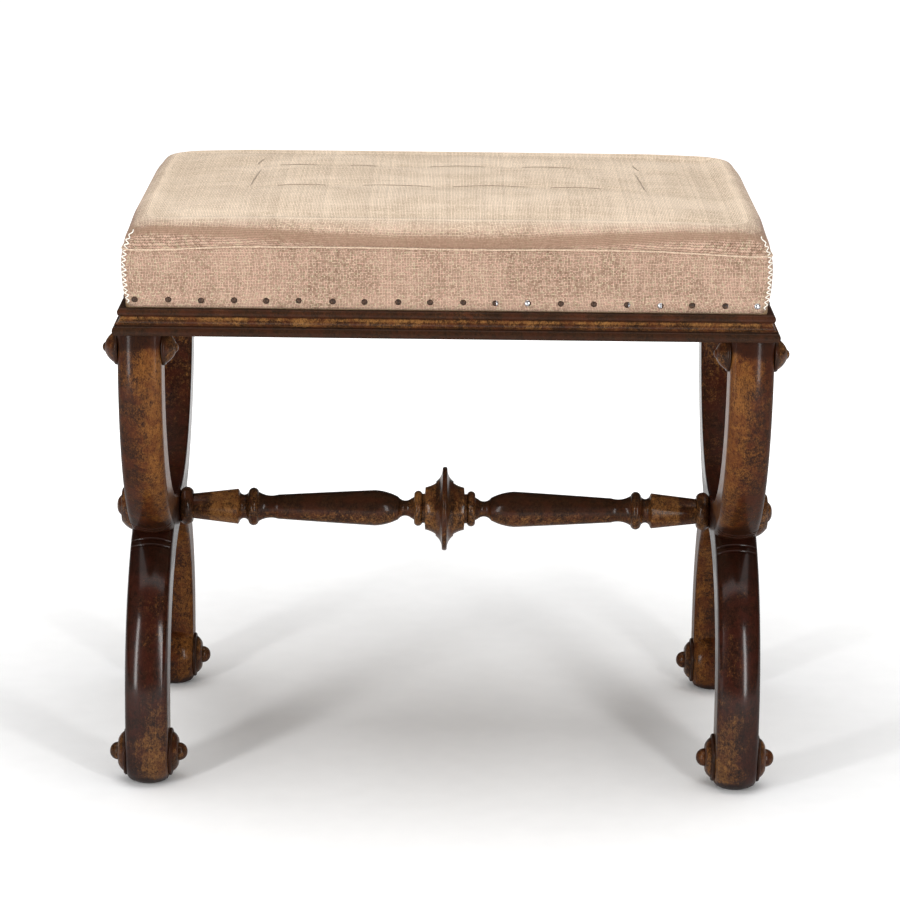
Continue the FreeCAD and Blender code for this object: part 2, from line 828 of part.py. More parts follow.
def cover_pieces():
    """The top panel and four side bands, parted at the seam and down the corners."""
    shell = seat_form(0.0, 0.0).cut(seat_form(cloth_thickness, 0.0))
    below = block((-FAR, FAR), (-FAR, FAR), (-FAR, cover_foot + seam_height))
    above = block((-FAR, FAR), (-FAR, FAR), (cover_foot + seam_height, FAR))
    skirt = shell.common(below).cut(cover_tack_holes())
    pieces = {"cover_top_panel": shell.common(above)}
    z_low = cover_foot - 1
    z_high = cover_foot + seam_height + 1
    rise = vec(0, 0, z_high - z_low)
    turn_in = cover_half_depth / 2
    for name, sx, sy in (("front", 0, -1), ("back", 0, 1), ("left", -1, 0), ("right", 1, 0)):
        gap = band_corner_gap / 2
        if sy:
            far_x = cover_half_width + FAR - gap
            near_x = cover_half_width - turn_in - gap
            outline = [(-far_x, sy * (cover_half_depth + FAR)), (far_x, sy * (cover_half_depth + FAR)),
                       (near_x, sy * (cover_half_depth - turn_in)), (-near_x, sy * (cover_half_depth - turn_in))]
        else:
            far_y = cover_half_depth + FAR - gap
            near_y = cover_half_depth - turn_in - gap
            outline = [(sx * (cover_half_width + FAR), -far_y), (sx * (cover_half_width + FAR), far_y),
                       (sx * (cover_half_width - turn_in), near_y), (sx * (cover_half_width - turn_in), -near_y)]
        points = [vec(x, y, z_low) for x, y in outline]
        sector = Part.Face(Part.makePolygon(points + points[:1])).extrude(rise)
        pieces["cover_band_" + name] = skirt.common(sector)
    return pieces


def seam_thread():
    """Cord of stitches laid in the seam all round the seat, under the roll."""
    seam = cover_foot + seam_height
    slab = block((-FAR, FAR), (-FAR, FAR), (seam - seam_thread_height / 2, seam + seam_thread_height / 2))
    outside = seat_form(-soft_clearance - seam_thread_thickness, 0.0).common(slab)
    return main_solid(outside.cut(seat_form(-soft_clearance, 0.0)))


def corner_stitches():
    """Slanting stitches that close the four corners below the seam."""
    count = int((seam_height - 2 * corner_stitch_pitch) / corner_stitch_pitch)
    stitches = []
    for x_sign in (-1, 1):
        for y_sign in (-1, 1):
            for index in range(count):
                height = corner_stitch_pitch * (1.5 + index)
                lean = side_slope * height / seam_height
                nip = corner_radius * (1 - math.sqrt(0.5))
                x = cover_half_width - lean - nip
                y = cover_half_depth - lean - nip
                clear = corner_stitch_radius + soft_clearance
                middle = vec(x_sign * (x + clear), y_sign * (y + clear), cover_foot + height)
                slant = math.radians(corner_stitch_slant)
                flat = math.cos(slant) * math.sqrt(0.5)
                direction = vec(x_sign * flat, -y_sign * flat, math.sin(slant))
                start = middle - direction * (corner_stitch_length / 2)
                stitches.append(Part.makeCylinder(corner_stitch_radius, corner_stitch_length, start, direction))
    return stitches


def surface_height(rings, x, y):
    """Height of the seat's top surface over a point away from the corners."""
    inset = min(cover_half_width - abs(x), cover_half_depth - abs(y))
    for low, high in zip(rings, rings[1:]):
        if low[0] <= inset <= high[0] and low[1] > cover_foot + seam_height:
            share = (inset - low[0]) / (high[0] - low[0])
            return low[1] + share * (high[1] - low[1])
    return rings[-1][1]


def tie_stitches():
    """Rows of long stitches that tie the stuffing down through the webbing."""
    rings = cover_rings(0.0)
    pitch = tie_stitch_length + tie_stitch_gap
    count = int(2 * tie_row_half_length / pitch)
    start = -pitch * count / 2 + tie_stitch_gap / 2
    lift = tie_thread_radius + soft_clearance
    runs = []
    for y in (tie_row_front, tie_row_back):
        for index in range(count):
            x = start + index * pitch
            runs.append((vec(x, y, 0), vec(x + tie_stitch_length, y, 0)))
    side_count = int((tie_row_back - tie_row_front) / pitch)
    side_start = (tie_row_front + tie_row_back - pitch * side_count + tie_stitch_gap) / 2
    for x in (-tie_row_half_length - pitch, tie_row_half_length + pitch):
        for index in range(side_count):
            y = side_start + index * pitch
            runs.append((vec(x, y, 0), vec(x, y + tie_stitch_length, 0)))
    stitches = []
    for low, high in runs:
        low.z = surface_height(rings, low.x, low.y) + lift
        high.z = surface_height(rings, high.x, high.y) + lift
        along = high - low
        stitches.append(Part.makeCylinder(tie_thread_radius, along.Length, low, along))
    return stitches


# Assembly


def all_pieces():
    pieces = {}
    legs = right_legs()
    bosses = right_bosses()
    arm = stretcher_arm()
    for side, x_sign in (("left", -1), ("right", 1)):
        pieces[side + "_leg_outer"] = mirrored(legs["outer"], x_sign, 1)
        pieces[side + "_leg_inner"] = mirrored(legs["inner"], x_sign, 1)
        pieces["stretcher_arm_" + side] = mirrored(arm, x_sign, 1)
        for name, boss in bosses.items():
            pieces[side + "_" + name] = mirrored(boss, x_sign, 1)
    pieces["stretcher_knop"] = stretcher_knop()

    tacks, places = web_tacks()
    hole_radius = web_tack_shank_radius + joint_clearance
    hole_depth = web_tack_shank_length + joint_clearance
    web_holes = [
        Part.makeCylinder(hole_radius, hole_depth + 2, vec(x, y, rail_top + web_thickness - hole_depth))
        for x, y in places
    ]
    cover_holes = cover_tack_holes()
    dowel_holes = [
        Part.makeCylinder(leg_dowel_radius + joint_clearance, leg_dowel_length / 2 + 1 + joint_clearance,
                          vec(x_sign * dowel_x, y_sign * leg_top_y, seat_underside - 1))
        for x_sign in (-1, 1) for y_sign in (-1, 1)
    ]
    screws = corner_screws(0.0)
    screw_holes = corner_screws(joint_clearance)
    signs = [(x_sign, y_sign) for x_sign in (-1, 1) for y_sign in (-1, 1)]
    all_screw_holes = [mirrored(hole, sx, -sy) for hole in screw_holes for sx, sy in signs]

    long_rail = block((-rail_inner_x, rail_inner_x), (-seat_half_depth, -rail_inner_y), (seat_underside, rail_top))
    tenon = rail_tenon(0.0)
    long_rail = long_rail.fuse([tenon, mirrored(tenon, -1, 1)]).removeSplitter()
    side_rail = block((rail_inner_x, seat_half_width), (-seat_half_depth, seat_half_depth), (seat_underside, rail_top))
    mortise = rail_tenon(joint_clearance)
    plan = ring_wire(cloth_thickness + soft_clearance, seat_underside, rail_corner_radius, 0.0)
    rounded = Part.Face(plan).extrude(vec(0, 0, rail_height))
    side_rail = side_rail.cut([mortise, mirrored(mortise, 1, -1)]).common(rounded)
    holes = web_holes + cover_holes + dowel_holes + all_screw_holes
    pieces["rail_front"] = bored(long_rail, holes)
    pieces["rail_back"] = bored(mirrored(long_rail, 1, -1), holes)
    pieces["rail_right"] = bored(side_rail, holes)
    pieces["rail_left"] = bored(mirrored(side_rail, -1, 1), holes)
    pieces.update(mouldings())

    glue_block = corner_block()
    for side, x_sign in (("left", -1), ("right", 1)):
        for depth, y_sign in (("front", 1), ("back", -1)):
            pieces["corner_block_" + side + "_" + depth] = mirrored(glue_block, x_sign, y_sign)
    pieces["corner_screws"] = Part.makeCompound([mirrored(screw, sx, sy) for screw in screws for sx, sy in signs])
    pieces["leg_dowels"] = Part.makeCompound(leg_dowels())

    long_end = seat_half_width - web_end_margin
    cross_end = seat_half_depth - web_end_margin
    long_webs = webbing(long_web_offsets, long_end, cross_web_offsets, True, 0)
    cross_webs = webbing(cross_web_offsets, cross_end, long_web_offsets, False, 1)
    pieces["webbing_long"] = Part.makeCompound([bored(web, web_holes) for web in long_webs])
    pieces["webbing_cross"] = Part.makeCompound([bored(web, web_holes) for web in cross_webs])
    pieces["webbing_tacks"] = Part.makeCompound(tacks)
    pieces["base_hessian"] = block((-long_end, long_end), (-cross_end, cross_end),
                                   (base_hessian_z, base_hessian_z + hessian_thickness))

    pieces["stuffing_pad"] = seat_form(cloth_thickness + soft_clearance, pad_bottom)
    pieces.update(cover_pieces())
    pieces["seam_thread"] = seam_thread()
    pieces["corner_stitches"] = Part.makeCompound(corner_stitches())
    pieces["tie_stitches"] = Part.makeCompound(tie_stitches())
    pieces["cover_tacks"] = Part.makeCompound(cover_tacks())
    return pieces


def main():
    os.makedirs(STEP_FOLDER, exist_ok=True)
    for name, shape in all_pieces().items():
        shape.exportStep(os.path.join(STEP_FOLDER, name + ".step"))
        print(name, len(shape.Solids), "valid" if shape.isValid() else "NOT VALID", round(shape.Volume / 1000, 2))


main()
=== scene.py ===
import math

import bpy
from mathutils import Matrix, Vector, noise
from mathutils.bvhtree import BVHTree


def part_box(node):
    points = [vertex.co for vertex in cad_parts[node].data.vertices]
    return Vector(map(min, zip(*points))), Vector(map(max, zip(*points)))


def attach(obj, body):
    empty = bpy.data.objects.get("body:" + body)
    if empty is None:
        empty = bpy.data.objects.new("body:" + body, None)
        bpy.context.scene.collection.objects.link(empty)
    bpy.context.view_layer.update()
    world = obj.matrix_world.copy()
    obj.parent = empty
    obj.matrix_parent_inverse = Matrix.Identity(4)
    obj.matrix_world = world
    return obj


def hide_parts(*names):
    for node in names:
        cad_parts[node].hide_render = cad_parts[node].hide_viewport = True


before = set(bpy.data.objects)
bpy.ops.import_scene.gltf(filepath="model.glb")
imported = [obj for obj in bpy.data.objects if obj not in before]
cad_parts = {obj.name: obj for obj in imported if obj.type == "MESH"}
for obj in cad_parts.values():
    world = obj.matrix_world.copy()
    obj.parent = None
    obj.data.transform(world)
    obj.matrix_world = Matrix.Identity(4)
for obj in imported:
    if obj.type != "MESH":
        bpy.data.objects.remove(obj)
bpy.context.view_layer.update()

MM = 0.001

# Where the camera stands, as fitted to the photograph: place in metres and angles in degrees
CAMERA_PLACE = Vector((0.0041, -2.816, 0.9795))
CAMERA_TILT = 14.36
CAMERA_ROLL = 0.65
CAMERA_LENS = 133.1

# The wooden frame: heights and places that its finish follows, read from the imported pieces
boss_low, boss_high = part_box("right_crossing_boss")
CROSSING_HEIGHT = (boss_low.z + boss_high.z) / 2
MOULDING_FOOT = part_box("moulding_front")[0].z
LIMB_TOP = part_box("rail_front")[0].z
LEG_INNER_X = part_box("right_leg_outer")[0].x
LEG_OUTER_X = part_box("right_leg_outer")[1].x

# The stretcher, from its middle: where its cones start, and the block beside the knop
CONE_START = 181 * MM
KNOP_BLOCK = 17 * MM

# The boxed seat: half its size at the foot of the cover, the levels of its seam and crest over that foot,
# and how far they fall towards the corners
cover_low, cover_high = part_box("cover_band_front")
SEAT_HALF_WIDTH = cover_high.x
SEAT_HALF_DEPTH = -cover_low.y
SEAT_FOOT = cover_low.z
PAD_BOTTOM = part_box("stuffing_pad")[0].z
SEAM_HEIGHT = 50.5 * MM
CREST_INSET = 15 * MM
CREST_HEIGHT = 72.0 * MM
SEAM_FALL = 3.2 * MM
CREST_FALL = 2.0 * MM
CORNER_REACH = 95 * MM
CORNER_RADIUS = 9 * MM
CREST_RADIUS = 26 * MM
CLOTH_THICKNESS = 1.1 * MM

# Length of cloth down from the crest: where it folds in over the seam and a painted shade darkens it, and
# what stands for all of the bands
SEAM_SHADE_DOWN = 26 * MM
BAND_DOWN = 60 * MM

# Side of the seat from foot to crest of the roll, in mm: inset along a side, height over the foot, radius
# of the corner and inset at a corner, where the sides are drawn in less
BAND_PROFILE = ((0, 0, 9, 0), (-1.3, 7, 9, -1.6), (-2.4, 14.5, 9, -3.0), (-2.8, 22, 9, -3.7),
                (-2.6, 31, 9, -4.1), (-1.8, 39, 9, -4.2), (-0.4, 46.5, 9, -3.6))
SEAM_PROFILE = (1.6, 50.5, 9, -2.8)
ROLL_PROFILE = ((0.8, 52.3, 9.5, -2.4), (-0.4, 55.2, 10.5, -1.8), (-1.0, 58.8, 12, -0.8),
                (-0.6, 62.4, 14, 1.0), (1.6, 66.0, 16.5, 3.6), (5.4, 69.1, 20, 6.9),
                (10.0, 71.2, 23.5, 10.8), (15, 72.0, 26, 15))

# Top of the seat from the crest inward: inset and height over the foot
TOP_PROFILE = ((15, 72.0), (21, 71.2), (28, 70.2), (34, 70.8), (42, 71.9), (60, 73.2), (80, 74.3),
               (127, 76.0), (165, 76.6), (190, 76.6))

# Groove behind the roll, where the stuffing is sewn through
GROOVE_INSET = 28 * MM
GROOVE_WIDTH = 7 * MM

# Spacing of the seat's mesh and the number of steps round one half of a corner
MESH_STEP = 5.2 * MM
CORNER_STEPS = 4

# Long stitches that tie the stuffing down: each row's place and the spans of its stitches in mm from the
# middle, the columns across the ends, and the hollows that they pull in, which fade out at their ends
TIE_ROWS = ((-32 * MM, ((-147, -101), (-76, -11), (0, 70), (84, 132))),
            (75 * MM, ((-150, -112), (-88, -61), (-20, 35), (62, 110))))
TIE_COLUMN = 168 * MM
TIE_COLUMN_SPANS = ((-34, 62), (80, 104))
TIE_DIP = 1.6 * MM
TIE_DIP_WIDTH = 9 * MM
TIE_ROW_FADE = (170 * MM, 200 * MM)
TIE_COLUMN_FADE = (60 * MM, 95 * MM)
TIE_COLUMN_MIDDLE = 20 * MM
TWINE_STEPS = 14
TWINE_RADIUS = 0.22 * MM

# White stitches down the corners, the ridge of the seam, and how far outside the seat the rays start that
# find places on its skin: the ridge's in mm, and those of the corner stitches and the tacks
STITCH_PITCH = 4.2 * MM
STITCH_REACH = 1.5 * MM
STITCH_RADIUS = 0.48 * MM
RIDGE_INSET = 5.0 * MM
RIDGE_ROUNDING = 20 * MM
RIDGE_RADIUS = 0.8 * MM
RIDGE_LIFT = 0.5 * MM
RIDGE_RAY_MM = 30
RAY_START = 60 * MM

# Cloth simulation of the seat: its frames, the most that a point may move, and its settings
CLOTH_FRAMES = 20
CLOTH_CAP = 2.5 * MM
CLOTH_SETTINGS = {
    "vertex_group_mass": "held", "use_pressure": True, "uniform_pressure_force": 4.0, "quality": 6,
    "mass": 0.4, "tension_stiffness": 22, "compression_stiffness": 22, "shear_stiffness": 12,
    "bending_stiffness": 1.2,
}

# Tacks along the foot of the cover
TACKS_FRONT = 20
TACKS_SIDE = 13
TACK_HEIGHT = 7 * MM
TACK_CORNER_GAP = 7.5 * MM
TACK_PITCH = 26.7 * MM
TACK_RADIUS = 2.6 * MM
TACK_RISE = 1.4 * MM

# Turned shape of a tack head: shares of its radius and of its rise, from the cloth up
TACK_SIDES = 12
TACK_PROFILE = ((1.0, -0.35), (1.0, 0.10), (0.93, 0.34), (0.72, 0.68), (0.40, 0.92))

# Weave of the hessian
WEAVE_PITCH = 1.25 * MM

# Brightness of the plain white room: how it lights, how it mirrors and how it looks
WORLD_FILL = 0.40
WORLD_GLOSS = 0.06
WORLD_SEEN = 1.0
WHITE = (1.0, 1.0, 1.0, 1.0)

# The two softboxes and the light overhead: metres and watts
SOFTBOX_DISTANCE = 1.5
SOFTBOX_LOW = 0.03
SOFTBOX_HIGH = 1.08
SOFTBOX_WIDTH = 0.14
SOFTBOX_POWER = 12
OVERHEAD_SIZE = (3.2, 2.6)
OVERHEAD_PLACE = (0.0, -0.1, 2.6)
OVERHEAD_POWER = 64

# How far the floor reaches each way, in metres
FLOOR_REACH = 14.0


class Field:
    """One value in a material. Python's own signs on it add the Math nodes that work it out."""

    def __init__(self, finish, socket):
        self.finish = finish
        self.socket = socket

    def math(self, operation, *others):
        made = self.finish.node("Math", {"operation": operation}, dict(enumerate((self,) + others)))
        return Field(self.finish, made.outputs[0])

    def __add__(self, other):
        return self.math("ADD", other)

    def __sub__(self, other):
        return self.math("SUBTRACT", other)

    def __mul__(self, other):
        return self.math("MULTIPLY", other)

    def __truediv__(self, other):
        return self.math("DIVIDE", other)

    def __pow__(self, other):
        return self.math("POWER", other)

    def __neg__(self):
        return self.math("MULTIPLY", -1.0)

    def __abs__(self):
        return self.math("ABSOLUTE")

    def __rsub__(self, other):
        return (-self).math("ADD", other)

    def __rtruediv__(self, other):
        return self.math("POWER", -1.0) * other

    __radd__ = __add__
    __rmul__ = __mul__


class Nodes:
    """The nodes of a material or of the room, which all come from node()."""

    def __init__(self, owner):
        owner.use_nodes = True
        self.tree = owner.node_tree
        self.tree.nodes.clear()

    def node(self, kind, settings=None, inputs=None):
        """A node of this kind, with its settings set first, and then the values or links of its sockets."""
        made = self.tree.nodes.new("ShaderNode" + kind)
        for name, value in (settings or {}).items():
            if name == "stops":
                self.set_stops(made.color_ramp, value)
            else:
                setattr(made, name, value)
        for name, value in (inputs or {}).items():
            socket = made.inputs[name]
            if isinstance(value, Field):
                self.tree.links.new(value.socket, socket)
            elif hasattr(value, "links"):
                self.tree.links.new(value, socket)
            else:
                socket.default_value = value
        return made

    def set_stops(self, ramp, stops):
        """Puts the ramp's colours at their places, from low to high."""
        while len(ramp.elements) < len(stops):
            ramp.elements.new(1.0)
        for element, (place, colour) in zip(ramp.elements, stops):
            element.position = place
            element.color = (*colour, 1.0)


class Finish(Nodes):
    """A material under way, which surface() closes. place, x, y and z are on the object, in metres."""

    def __init__(self, name):
        self.material = bpy.data.materials.new(name)
        super().__init__(self.material)
        self.place = self.node("TexCoord").outputs["Object"]
        self.x, self.y, self.z = self.parts(self.place)

    def stored(self, name):
        """Coordinates kept on the mesh under this name."""
        return self.node("Attribute", {"attribute_name": name}).outputs["Vector"]

    def parts(self, vector):
        """The three values of a vector."""
        split = self.node("SeparateXYZ", None, {0: vector})
        return [Field(self, socket) for socket in split.outputs]

    def joined(self, x, y, z):
        return self.node("CombineXYZ", None, {0: x, 1: y, 2: z}).outputs[0]

    def vector_math(self, operation, inputs):
        return self.node("VectorMath", {"operation": operation}, inputs).outputs[0]

    def stretched(self, vector, stretch):
        """The vector with each of its values multiplied."""
        return self.vector_math("MULTIPLY", {0: vector, 1: stretch})

    def wandering(self, scale, detail, reach):
        """The place on the object, moved about by noise by at most reach each way."""
        inputs = {"Vector": self.place, "Scale": scale, "Detail": detail}
        colour = self.node("TexNoise", None, inputs).outputs[1]
        centred = self.vector_math("SUBTRACT", {0: colour, 1: (0.5, 0.5, 0.5)})
        moves = self.vector_math("SCALE", {0: centred, "Scale": reach})
        return self.vector_math("ADD", {0: self.place, 1: moves})

    def noise(self, scale, detail=2.0, roughness=0.5, distortion=0.0, at=None):
        """Noise at this vector, or else at the place on the object."""
        inputs = {"Vector": self.place if at is None else at, "Scale": scale, "Detail": detail,
                  "Roughness": roughness, "Distortion": distortion}
        return Field(self, self.node("TexNoise", None, inputs).outputs[0])

    def drawn_noise(self, stretch, detail=2.0, roughness=0.5, distortion=0.0, at=None):
        """Noise that is drawn out, with a scale for each of the three directions."""
        drawn = self.stretched(self.place if at is None else at, stretch)
        return self.noise(1.0, detail, roughness, distortion, drawn)

    def wander(self, scale, reach, detail=3.0, roughness=0.5, at=None):
        """A slow change by at most reach either way, for edges and threads that aren't straight."""
        return (self.noise(scale, detail, roughness, at=at) - 0.5) * (2 * reach)

    def chance(self, vector):
        """A value between 0 and 1 by chance, the same wherever the vector is the same."""
        return Field(self, self.node("TexWhiteNoise", None, {"Vector": vector}).outputs["Value"])

    def between(self, value, low, high, soft=True):
        """0 below low, 1 above high, and smooth or straight between them."""
        kind = "SMOOTHSTEP" if soft else "LINEAR"
        inputs = {"Value": value, "From Min": low, "From Max": high}
        return Field(self, self.node("MapRange", {"interpolation_type": kind}, inputs).outputs[0])

    def clamped(self, value):
        """The value, held between 0 and 1."""
        return self.between(value, 0.0, 1.0, False)

    def band(self, value, low, high, edge):
        """1 between low and high, fading out over edge on both sides."""
        return self.between(value, low - edge, low) * (1 - self.between(value, high, high + edge))

    def mixed(self, amount, one, other):
        """Colour one, with this much of the other."""
        inputs = {0: amount, 6: self.colour(one), 7: self.colour(other)}
        return self.node("Mix", {"data_type": "RGBA"}, inputs).outputs[2]

    def layered(self, colour, *layers):
        """The colour with others laid over it in turn, each given as its amount and its colour."""
        for amount, other in layers:
            colour = self.mixed(amount, colour, other)
        return colour

    def colour(self, value):
        return (*value, 1.0) if isinstance(value, tuple) and len(value) == 3 else value

    def ramp(self, value, stops):
        return self.node("ValToRGB", {"stops": stops}, {0: value}).outputs[0]

    def bump(self, height, distance, strength):
        """A normal that follows this height."""
        inputs = {"Height": height, "Distance": distance, "Strength": strength}
        return self.node("Bump", None, inputs).outputs[0]

    def surface(self, colour, roughness, normal=None, metallic=0.0, coat=0.0, glow=None, **constants):
        """The shader that closes the material."""
        inputs = {"Base Color": self.colour(colour), "Roughness": roughness, "Metallic": metallic,
                  "Coat Weight": coat}
        if glow is not None:
            inputs["Emission Color"] = glow
        if normal is not None:
            inputs["Normal"] = normal
        shader = self.node("BsdfPrincipled", None, inputs)
        for name, value in constants.items():
            shader.inputs[name.replace("_", " ")].default_value = value
        self.node("OutputMaterial", None, {"Surface": shader.outputs[0]})
        return self.material


def scaled(values, share):
    """A colour or a row of sizes with each of its values multiplied."""
    return tuple(value * share for value in values)


def lacquered_wood(name, tones, darkening_and_shade, shine=None, gold=0.5, gloss=0.3, streaks=0.1, varnish=0.2):
    """Worn gilding under dark brown lacquer. tones are the dark, the middle and the light colour, and gold
    is how much of the light one comes through. The mask of darker parts tells them from 0 to 1, some of them
    painted shade in recesses, and shine tells the more golden ones, on the moulding's lip a painted
    highlight."""
    finish = Finish(name)
    wandering = finish.wandering(40.0, 3.0, 20 * MM)
    clouds = finish.noise(34.0, 3.0, 0.55, at=wandering)
    mottling = finish.noise(210.0, 4.0, 0.7, at=wandering)
    grain = finish.noise(640.0, 4.0, 0.75)
    along = finish.drawn_noise((420.0, 420.0, 34.0), 4.0, 0.65)
    fine = finish.drawn_noise((1500.0, 1500.0, 520.0), 2.0, 0.6, at=wandering)
    rubbed = clouds * 0.20 + mottling * 0.30 + grain * 0.22 + fine * 0.24 + (along - 0.5) * (0.44 * streaks)
    dark_and_shaded_parts = darkening_and_shade(finish)
    # shine: the more golden parts, with a painted highlight on the moulding's lip
    lean = shine(finish) * 0.08 if shine else 0.0
    start = 0.47 - 0.13 * gold
    amount = finish.between(rubbed - dark_and_shaded_parts * 0.15 + lean, start, start + 0.20)
    dark, middle, light = tones
    ground = finish.mixed(finish.between(grain * 0.6 + mottling * 0.4, 0.36, 0.62), dark, middle)
    specks = finish.between(finish.noise(900.0, 2.0, 0.7), 0.60, 0.70)
    pits = finish.between(finish.drawn_noise((800.0, 800.0, 300.0), 4.0, 0.75), 0.50, 0.64)
    red_glaze = finish.between(finish.noise(75.0, 3.0, 0.6), 0.44, 0.62)
    colour = finish.layered(
        ground,
        (amount, light),
        (specks * amount * (0.3 + 0.5 * gold), scaled(light, 2.0)),
        (pits * 0.75, scaled(dark, 0.6)),
        (red_glaze * 0.45, (middle[0] * 1.25, middle[1] * 0.8, middle[2] * 0.8)),
        # darker parts, some of them painted shade in recesses
        (dark_and_shaded_parts * 0.6, scaled(dark, 0.8)))
    normal = finish.bump(mottling * 0.5 + grain * 0.25 + along * 0.3 - pits * 0.35, 0.15 * MM, 0.5)
    roughness = finish.between(mottling, 0.3, 0.75, False) * 0.2 + gloss + dark_and_shaded_parts * 0.1
    coat = varnish - dark_and_shaded_parts * (0.4 * varnish)
    return finish.surface(colour, roughness, normal, amount * (0.15 * gold), coat, Coat_Roughness=0.15,
                          Specular_IOR_Level=0.03)


def limb_darkening_and_shade(finish):
    """Dark parts of a leg: painted shade in the recess of its crossing, and its darker top under the seat,
    sole, outer edge and lower bend.
    """
    wander = finish.wander(60.0, 7 * MM)
    height = finish.z + wander
    top = finish.between(height, LIMB_TOP - 17 * MM, LIMB_TOP - 9 * MM)
    # painted shade in the recess where the limbs cross
    crossing = finish.band(height, CROSSING_HEIGHT - 22 * MM, CROSSING_HEIGHT + 8 * MM, 12 * MM)
    sole = 1 - finish.between(height, 2 * MM, 9 * MM)
    outer = finish.between(abs(finish.x) + wander * 1.6, LEG_OUTER_X - 24 * MM, LEG_OUTER_X + 8 * MM)
    lower = 1 - finish.between(height, 225 * MM, 300 * MM)
    return finish.clamped(top + crossing + sole + outer * 0.5 + lower * 0.28)


def limb_shine(finish):
    """The inner third of a leg, where the gilding has kept its colour best."""
    inward = abs(finish.x) + finish.wander(45.0, 10 * MM)
    return 1 - finish.between(inward, LEG_INNER_X + 5 * MM, LEG_INNER_X + 22 * MM)


def foot_shine(finish):
    """The foot of a leg, where shoes have rubbed the lacquer off, most of all on its inner edge."""
    wander = finish.wander(45.0, 25 * MM)
    low = 1 - finish.between(finish.z + wander, 25 * MM, 105 * MM)
    inner = 1 - finish.between(abs(finish.x) + wander * 0.3, LEG_INNER_X + 8 * MM, LEG_INNER_X + 34 * MM)
    return low * (inner * 1.2 + 0.35)


def boss_recess_shade(finish):
    """Painted shade in the recess of a boss, where it stands on its leg."""
    from_middle = abs(abs(finish.x) - (LEG_OUTER_X + LEG_INNER_X) / 2)
    off_face = from_middle - (LEG_OUTER_X - LEG_INNER_X) / 2
    return 1 - finish.between(off_face, 0.4 * MM, 4.5 * MM)


def stretcher_shine(finish):
    """The cones and the knop's blocks, where the lacquer has been rubbed off, and the lower side, which is
    made lighter.
    """
    cone = finish.band(abs(finish.x), CONE_START, CONE_START + 22 * MM, 4 * MM)
    block = finish.band(abs(finish.x), KNOP_BLOCK - 8 * MM, KNOP_BLOCK + 9 * MM, 2 * MM)
    under = 1 - finish.between(finish.z, CROSSING_HEIGHT - 7 * MM, CROSSING_HEIGHT + 2 * MM)
    return finish.clamped(cone + block + under * 0.45) * (0.8 + cone * 0.35)


def stretcher_darker_top(finish):
    """The upper side of the stretcher's vases, which is made darker."""
    above = finish.between(finish.z, CROSSING_HEIGHT - 3 * MM, CROSSING_HEIGHT + 6 * MM)
    vase = finish.band(abs(finish.x), 36 * MM, CONE_START - 22 * MM, 5 * MM)
    return above * vase * 0.8


def moulding_grime(finish):
    """The bead and the lower torus of the moulding, which are darker than the cove between them."""
    height = finish.z - MOULDING_FOOT
    wear = finish.between(finish.noise(26.0, 3.0, 0.6), 0.40, 0.66)
    bead = finish.between(height, 15.2 * MM, 16.0 * MM) * (1 - wear * 0.7)
    torus = 1 - finish.between(height, 7.4 * MM, 9.4 * MM)
    return finish.clamped(bead * 0.9 + torus)


def moulding_highlight_and_wear(finish):
    """The thin lip between bead and cove, painted as an ochre highlight line where its edge catches the
    light, and a few patches of the cove.
    """
    height = finish.z - MOULDING_FOOT
    # painted highlight along the lip's edge
    lip = finish.band(height, 13.2 * MM, 14.6 * MM, 0.6 * MM)
    patches = finish.between(finish.noise(19.0, 2.0), 0.52, 0.66)
    cove = finish.band(height, 8.5 * MM, 13 * MM, 1 * MM)
    return finish.clamped(lip + cove * patches * 0.7)


def build_wood_finishes():
    """The lacquered finishes of the frame, by the kind of piece that wears them."""
    gold_tones = ((0.012, 0.004, 0.002), (0.048, 0.015, 0.004), (0.150, 0.056, 0.012))
    red_tones = ((0.009, 0.0030, 0.0015), (0.034, 0.0095, 0.0045), (0.17, 0.072, 0.018))
    turned_tones = ((0.013, 0.0055, 0.003), (0.046, 0.018, 0.007), (0.23, 0.098, 0.028))
    moulding_tones = ((0.015, 0.0075, 0.004), (0.062, 0.023, 0.009), (0.25, 0.115, 0.034))
    return {
        "leg_outer": lacquered_wood("worn_gilding", gold_tones, limb_darkening_and_shade, limb_shine,
                                    gold=0.45, gloss=0.36, streaks=0.5, varnish=0.16),
        "leg_inner": lacquered_wood("dark_lacquer", red_tones, limb_darkening_and_shade, foot_shine,
                                    gold=0.12, gloss=0.26, streaks=0.5, varnish=0.42),
        "boss": lacquered_wood("boss_lacquer", turned_tones, boss_recess_shade, gold=0.2),
        "stretcher": lacquered_wood("turned_lacquer", turned_tones, stretcher_darker_top, stretcher_shine,
                                    gold=0.0, gloss=0.26, varnish=0.22),
        "moulding": lacquered_wood("moulding_lacquer", moulding_tones, moulding_grime, moulding_highlight_and_wear,
                                   gold=0.15, gloss=0.32),
    }


def bare_wood():
    """Planed beech with its flecks and long grain, unfinished and a little dusty."""
    finish = Finish("bare_beech")
    grain = finish.drawn_noise((18.0, 18.0, 260.0), 4.0, 0.6, 0.4)
    flecks = finish.between(finish.drawn_noise((120.0, 120.0, 900.0), 1.0), 0.62, 0.72)
    dust = finish.between(finish.noise(22.0, 3.0), 0.45, 0.75)
    colour = finish.layered(
        finish.ramp(grain, ((0.30, (0.20, 0.115, 0.055)), (0.70, (0.36, 0.235, 0.125)))),
        (flecks * 0.5, (0.13, 0.07, 0.03)),
        (dust * 0.5, (0.16, 0.12, 0.085)))
    return finish.surface(colour, 0.62 + 0.2 * grain, finish.bump(grain + flecks * 0.4, 0.25 * MM, 0.5))


